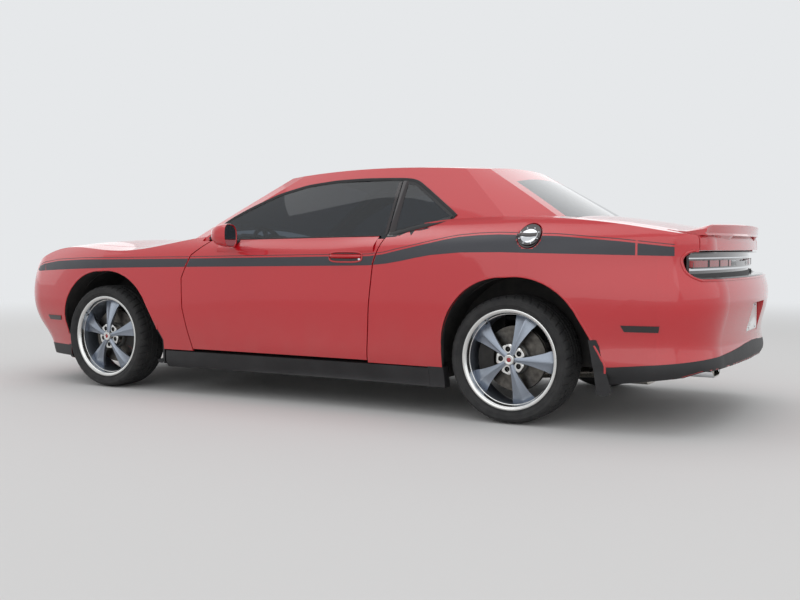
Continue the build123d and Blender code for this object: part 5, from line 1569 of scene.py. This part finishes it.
side_stripes()
for word, side in SIDES:
    door_shoulder(word, side)
    window_seals(word, side)
    sill_end(word, side)
    for node, x in ((f"fender_{word}", FRONT_AXLE_X), ("front_fascia", FRONT_AXLE_X),
                    (f"quarter_{word}", REAR_AXLE_X), ("rear_fascia", REAR_AXLE_X)):
        spray_inside_arch(node, x, side)
    paint_reveals(word, side)
    stripe_seam(word, side)
    arch_lip(f"front_{word}", FRONT_AXLE_X, side, (f"fender_{word}", "front_fascia"), -8, 172)
    arch_lip(f"rear_{word}", REAR_AXLE_X, side, (f"quarter_{word}", "rear_fascia"), 4, 184)
    film(f"chin_side_{word}", spread(1.900, 2.04, 0.004), np.linspace(0.150, 0.268, 20),
         lambda s, t: (s, side * SIDE_START, t), (0, -side, 0), skin_of("front_fascia", f"fender_{word}"),
         "body_shell", BLACK_ABS, 0.0015, 3.0)
    flap_flange(f"rear_{word}", REAR_FLANGE, side, (f"quarter_{word}", "rear_fascia", "mud_flaps"))
    flap_flange(f"front_{word}", FRONT_FLANGE, side, (f"fender_{word}", "mud_flaps", "sill_covers"))
    exhaust_tip(word, side)
    door_handle(word, side)
    door_mirror(word, side)
    wiper(word, side)
    caliper_shell(f"front_{word}", FRONT_AXLE_X, side, -1, f"knuckle_{word}")
    caliper_shell(f"rear_{word}", REAR_AXLE_X, side, 1, "body_shell")
rear_valance()
tail_lamp_panel()
recess_rim()
licence_plate()
fuel_cap()
duck_tail()
seats()
trim_cabin()


# Floor, light and finish

def background_rays(tree):
    """1 for the rays that show the pale background: the camera's, and those seen in metal and through glass."""
    path = add_node(tree, "ShaderNodeLightPath")
    straight = add_node(tree, "ShaderNodeMath", {"operation": "MAXIMUM"}, {
        0: path.outputs["Is Camera Ray"], 1: path.outputs["Is Transmission Ray"]})
    return add_node(tree, "ShaderNodeMath", {"operation": "MAXIMUM"}, {
        0: straight.outputs[0], 1: path.outputs["Is Glossy Ray"]}).outputs[0]


BACKGROUND = "e6e8ea"
FLOOR_RADIUS = 60


def studio_floor():
    """A pale plain floor, wide enough to reach the horizon."""
    mesh = bpy.data.meshes.new("studio_floor")
    mesh.from_pydata([(x, y, -0.0005) for x, y in circle(FLOOR_RADIUS, 96)], [], [tuple(range(96))])
    material, tree, surface = new_material("painted_screed", "d3d3d3", 0.9)
    where = add_node(tree, "ShaderNodeNewGeometry")
    span = add_node(tree, "ShaderNodeVectorMath", {"operation": "LENGTH"}, {0: where.outputs["Position"]})
    fade = add_node(tree, "ShaderNodeMapRange", {"interpolation_type": "SMOOTHSTEP"}, {
        "Value": span.outputs["Value"], "From Min": 5.5, "From Max": 13.0})
    share = add_node(tree, "ShaderNodeMath", {"operation": "MULTIPLY"}, {
        0: fade.outputs["Result"], 1: background_rays(tree)})
    pale = add_node(tree, "ShaderNodeEmission", None, {"Color": linear(BACKGROUND), "Strength": 1.0})
    mix = add_node(tree, "ShaderNodeMixShader", None, {
        0: share.outputs[0], 1: surface.outputs["BSDF"], 2: pale.outputs[0]})
    tree.links.new(mix.outputs[0], tree.nodes["Material Output"].inputs["Surface"])
    mesh.materials.append(material)
    floor = bpy.data.objects.new("studio_floor", mesh)
    bpy.context.scene.collection.objects.link(floor)


def soft_light(name, at, towards, size, watts):
    """A large soft panel light."""
    data = bpy.data.lights.new(name, "AREA")
    data.shape = "RECTANGLE"
    data.size, data.size_y = size
    data.energy = watts
    lamp = bpy.data.objects.new(name, data)
    lamp.location = at
    lamp.rotation_euler = (Vector(towards) - Vector(at)).to_track_quat("-Z", "Y").to_euler()
    bpy.context.scene.collection.objects.link(lamp)


def studio_world():
    """Even light from all round. The camera, mirrors and glass see a pale background."""
    world = bpy.data.worlds.new("studio")
    bpy.context.scene.world = world
    world.use_nodes = True
    tree = world.node_tree
    tree.nodes.clear()
    light = add_node(tree, "ShaderNodeBackground", None, {"Color": linear("ffffff"), "Strength": 0.55})
    shown = add_node(tree, "ShaderNodeBackground", None, {"Color": linear(BACKGROUND), "Strength": 1.0})
    mix = add_node(tree, "ShaderNodeMixShader", None, {
        0: background_rays(tree), 1: light.outputs[0], 2: shown.outputs[0]})
    add_node(tree, "ShaderNodeOutputWorld", None, {"Surface": mix.outputs[0]})


studio_floor()
studio_world()
soft_light("overhead", (-0.5, 0.0, 8.5), (-0.5, 0.0, 0.0), (14.0, 9.0), 300)
soft_light("side_left", (-2.5, 10.5, 5.0), (-0.5, 0.5, 0.5), (16.0, 9.0), 300)
soft_light("side_right", (2.5, -11.0, 6.5), (0.5, -0.5, 0.5), (14.0, 7.0), 150)
soft_light("tail_end", (-10.5, 1.0, 4.5), (-2.0, 0.0, 0.6), (14.0, 7.0), 150)
soft_light("nose_end", (10.5, -1.0, 4.5), (2.0, 0.0, 0.6), (14.0, 7.0), 150)
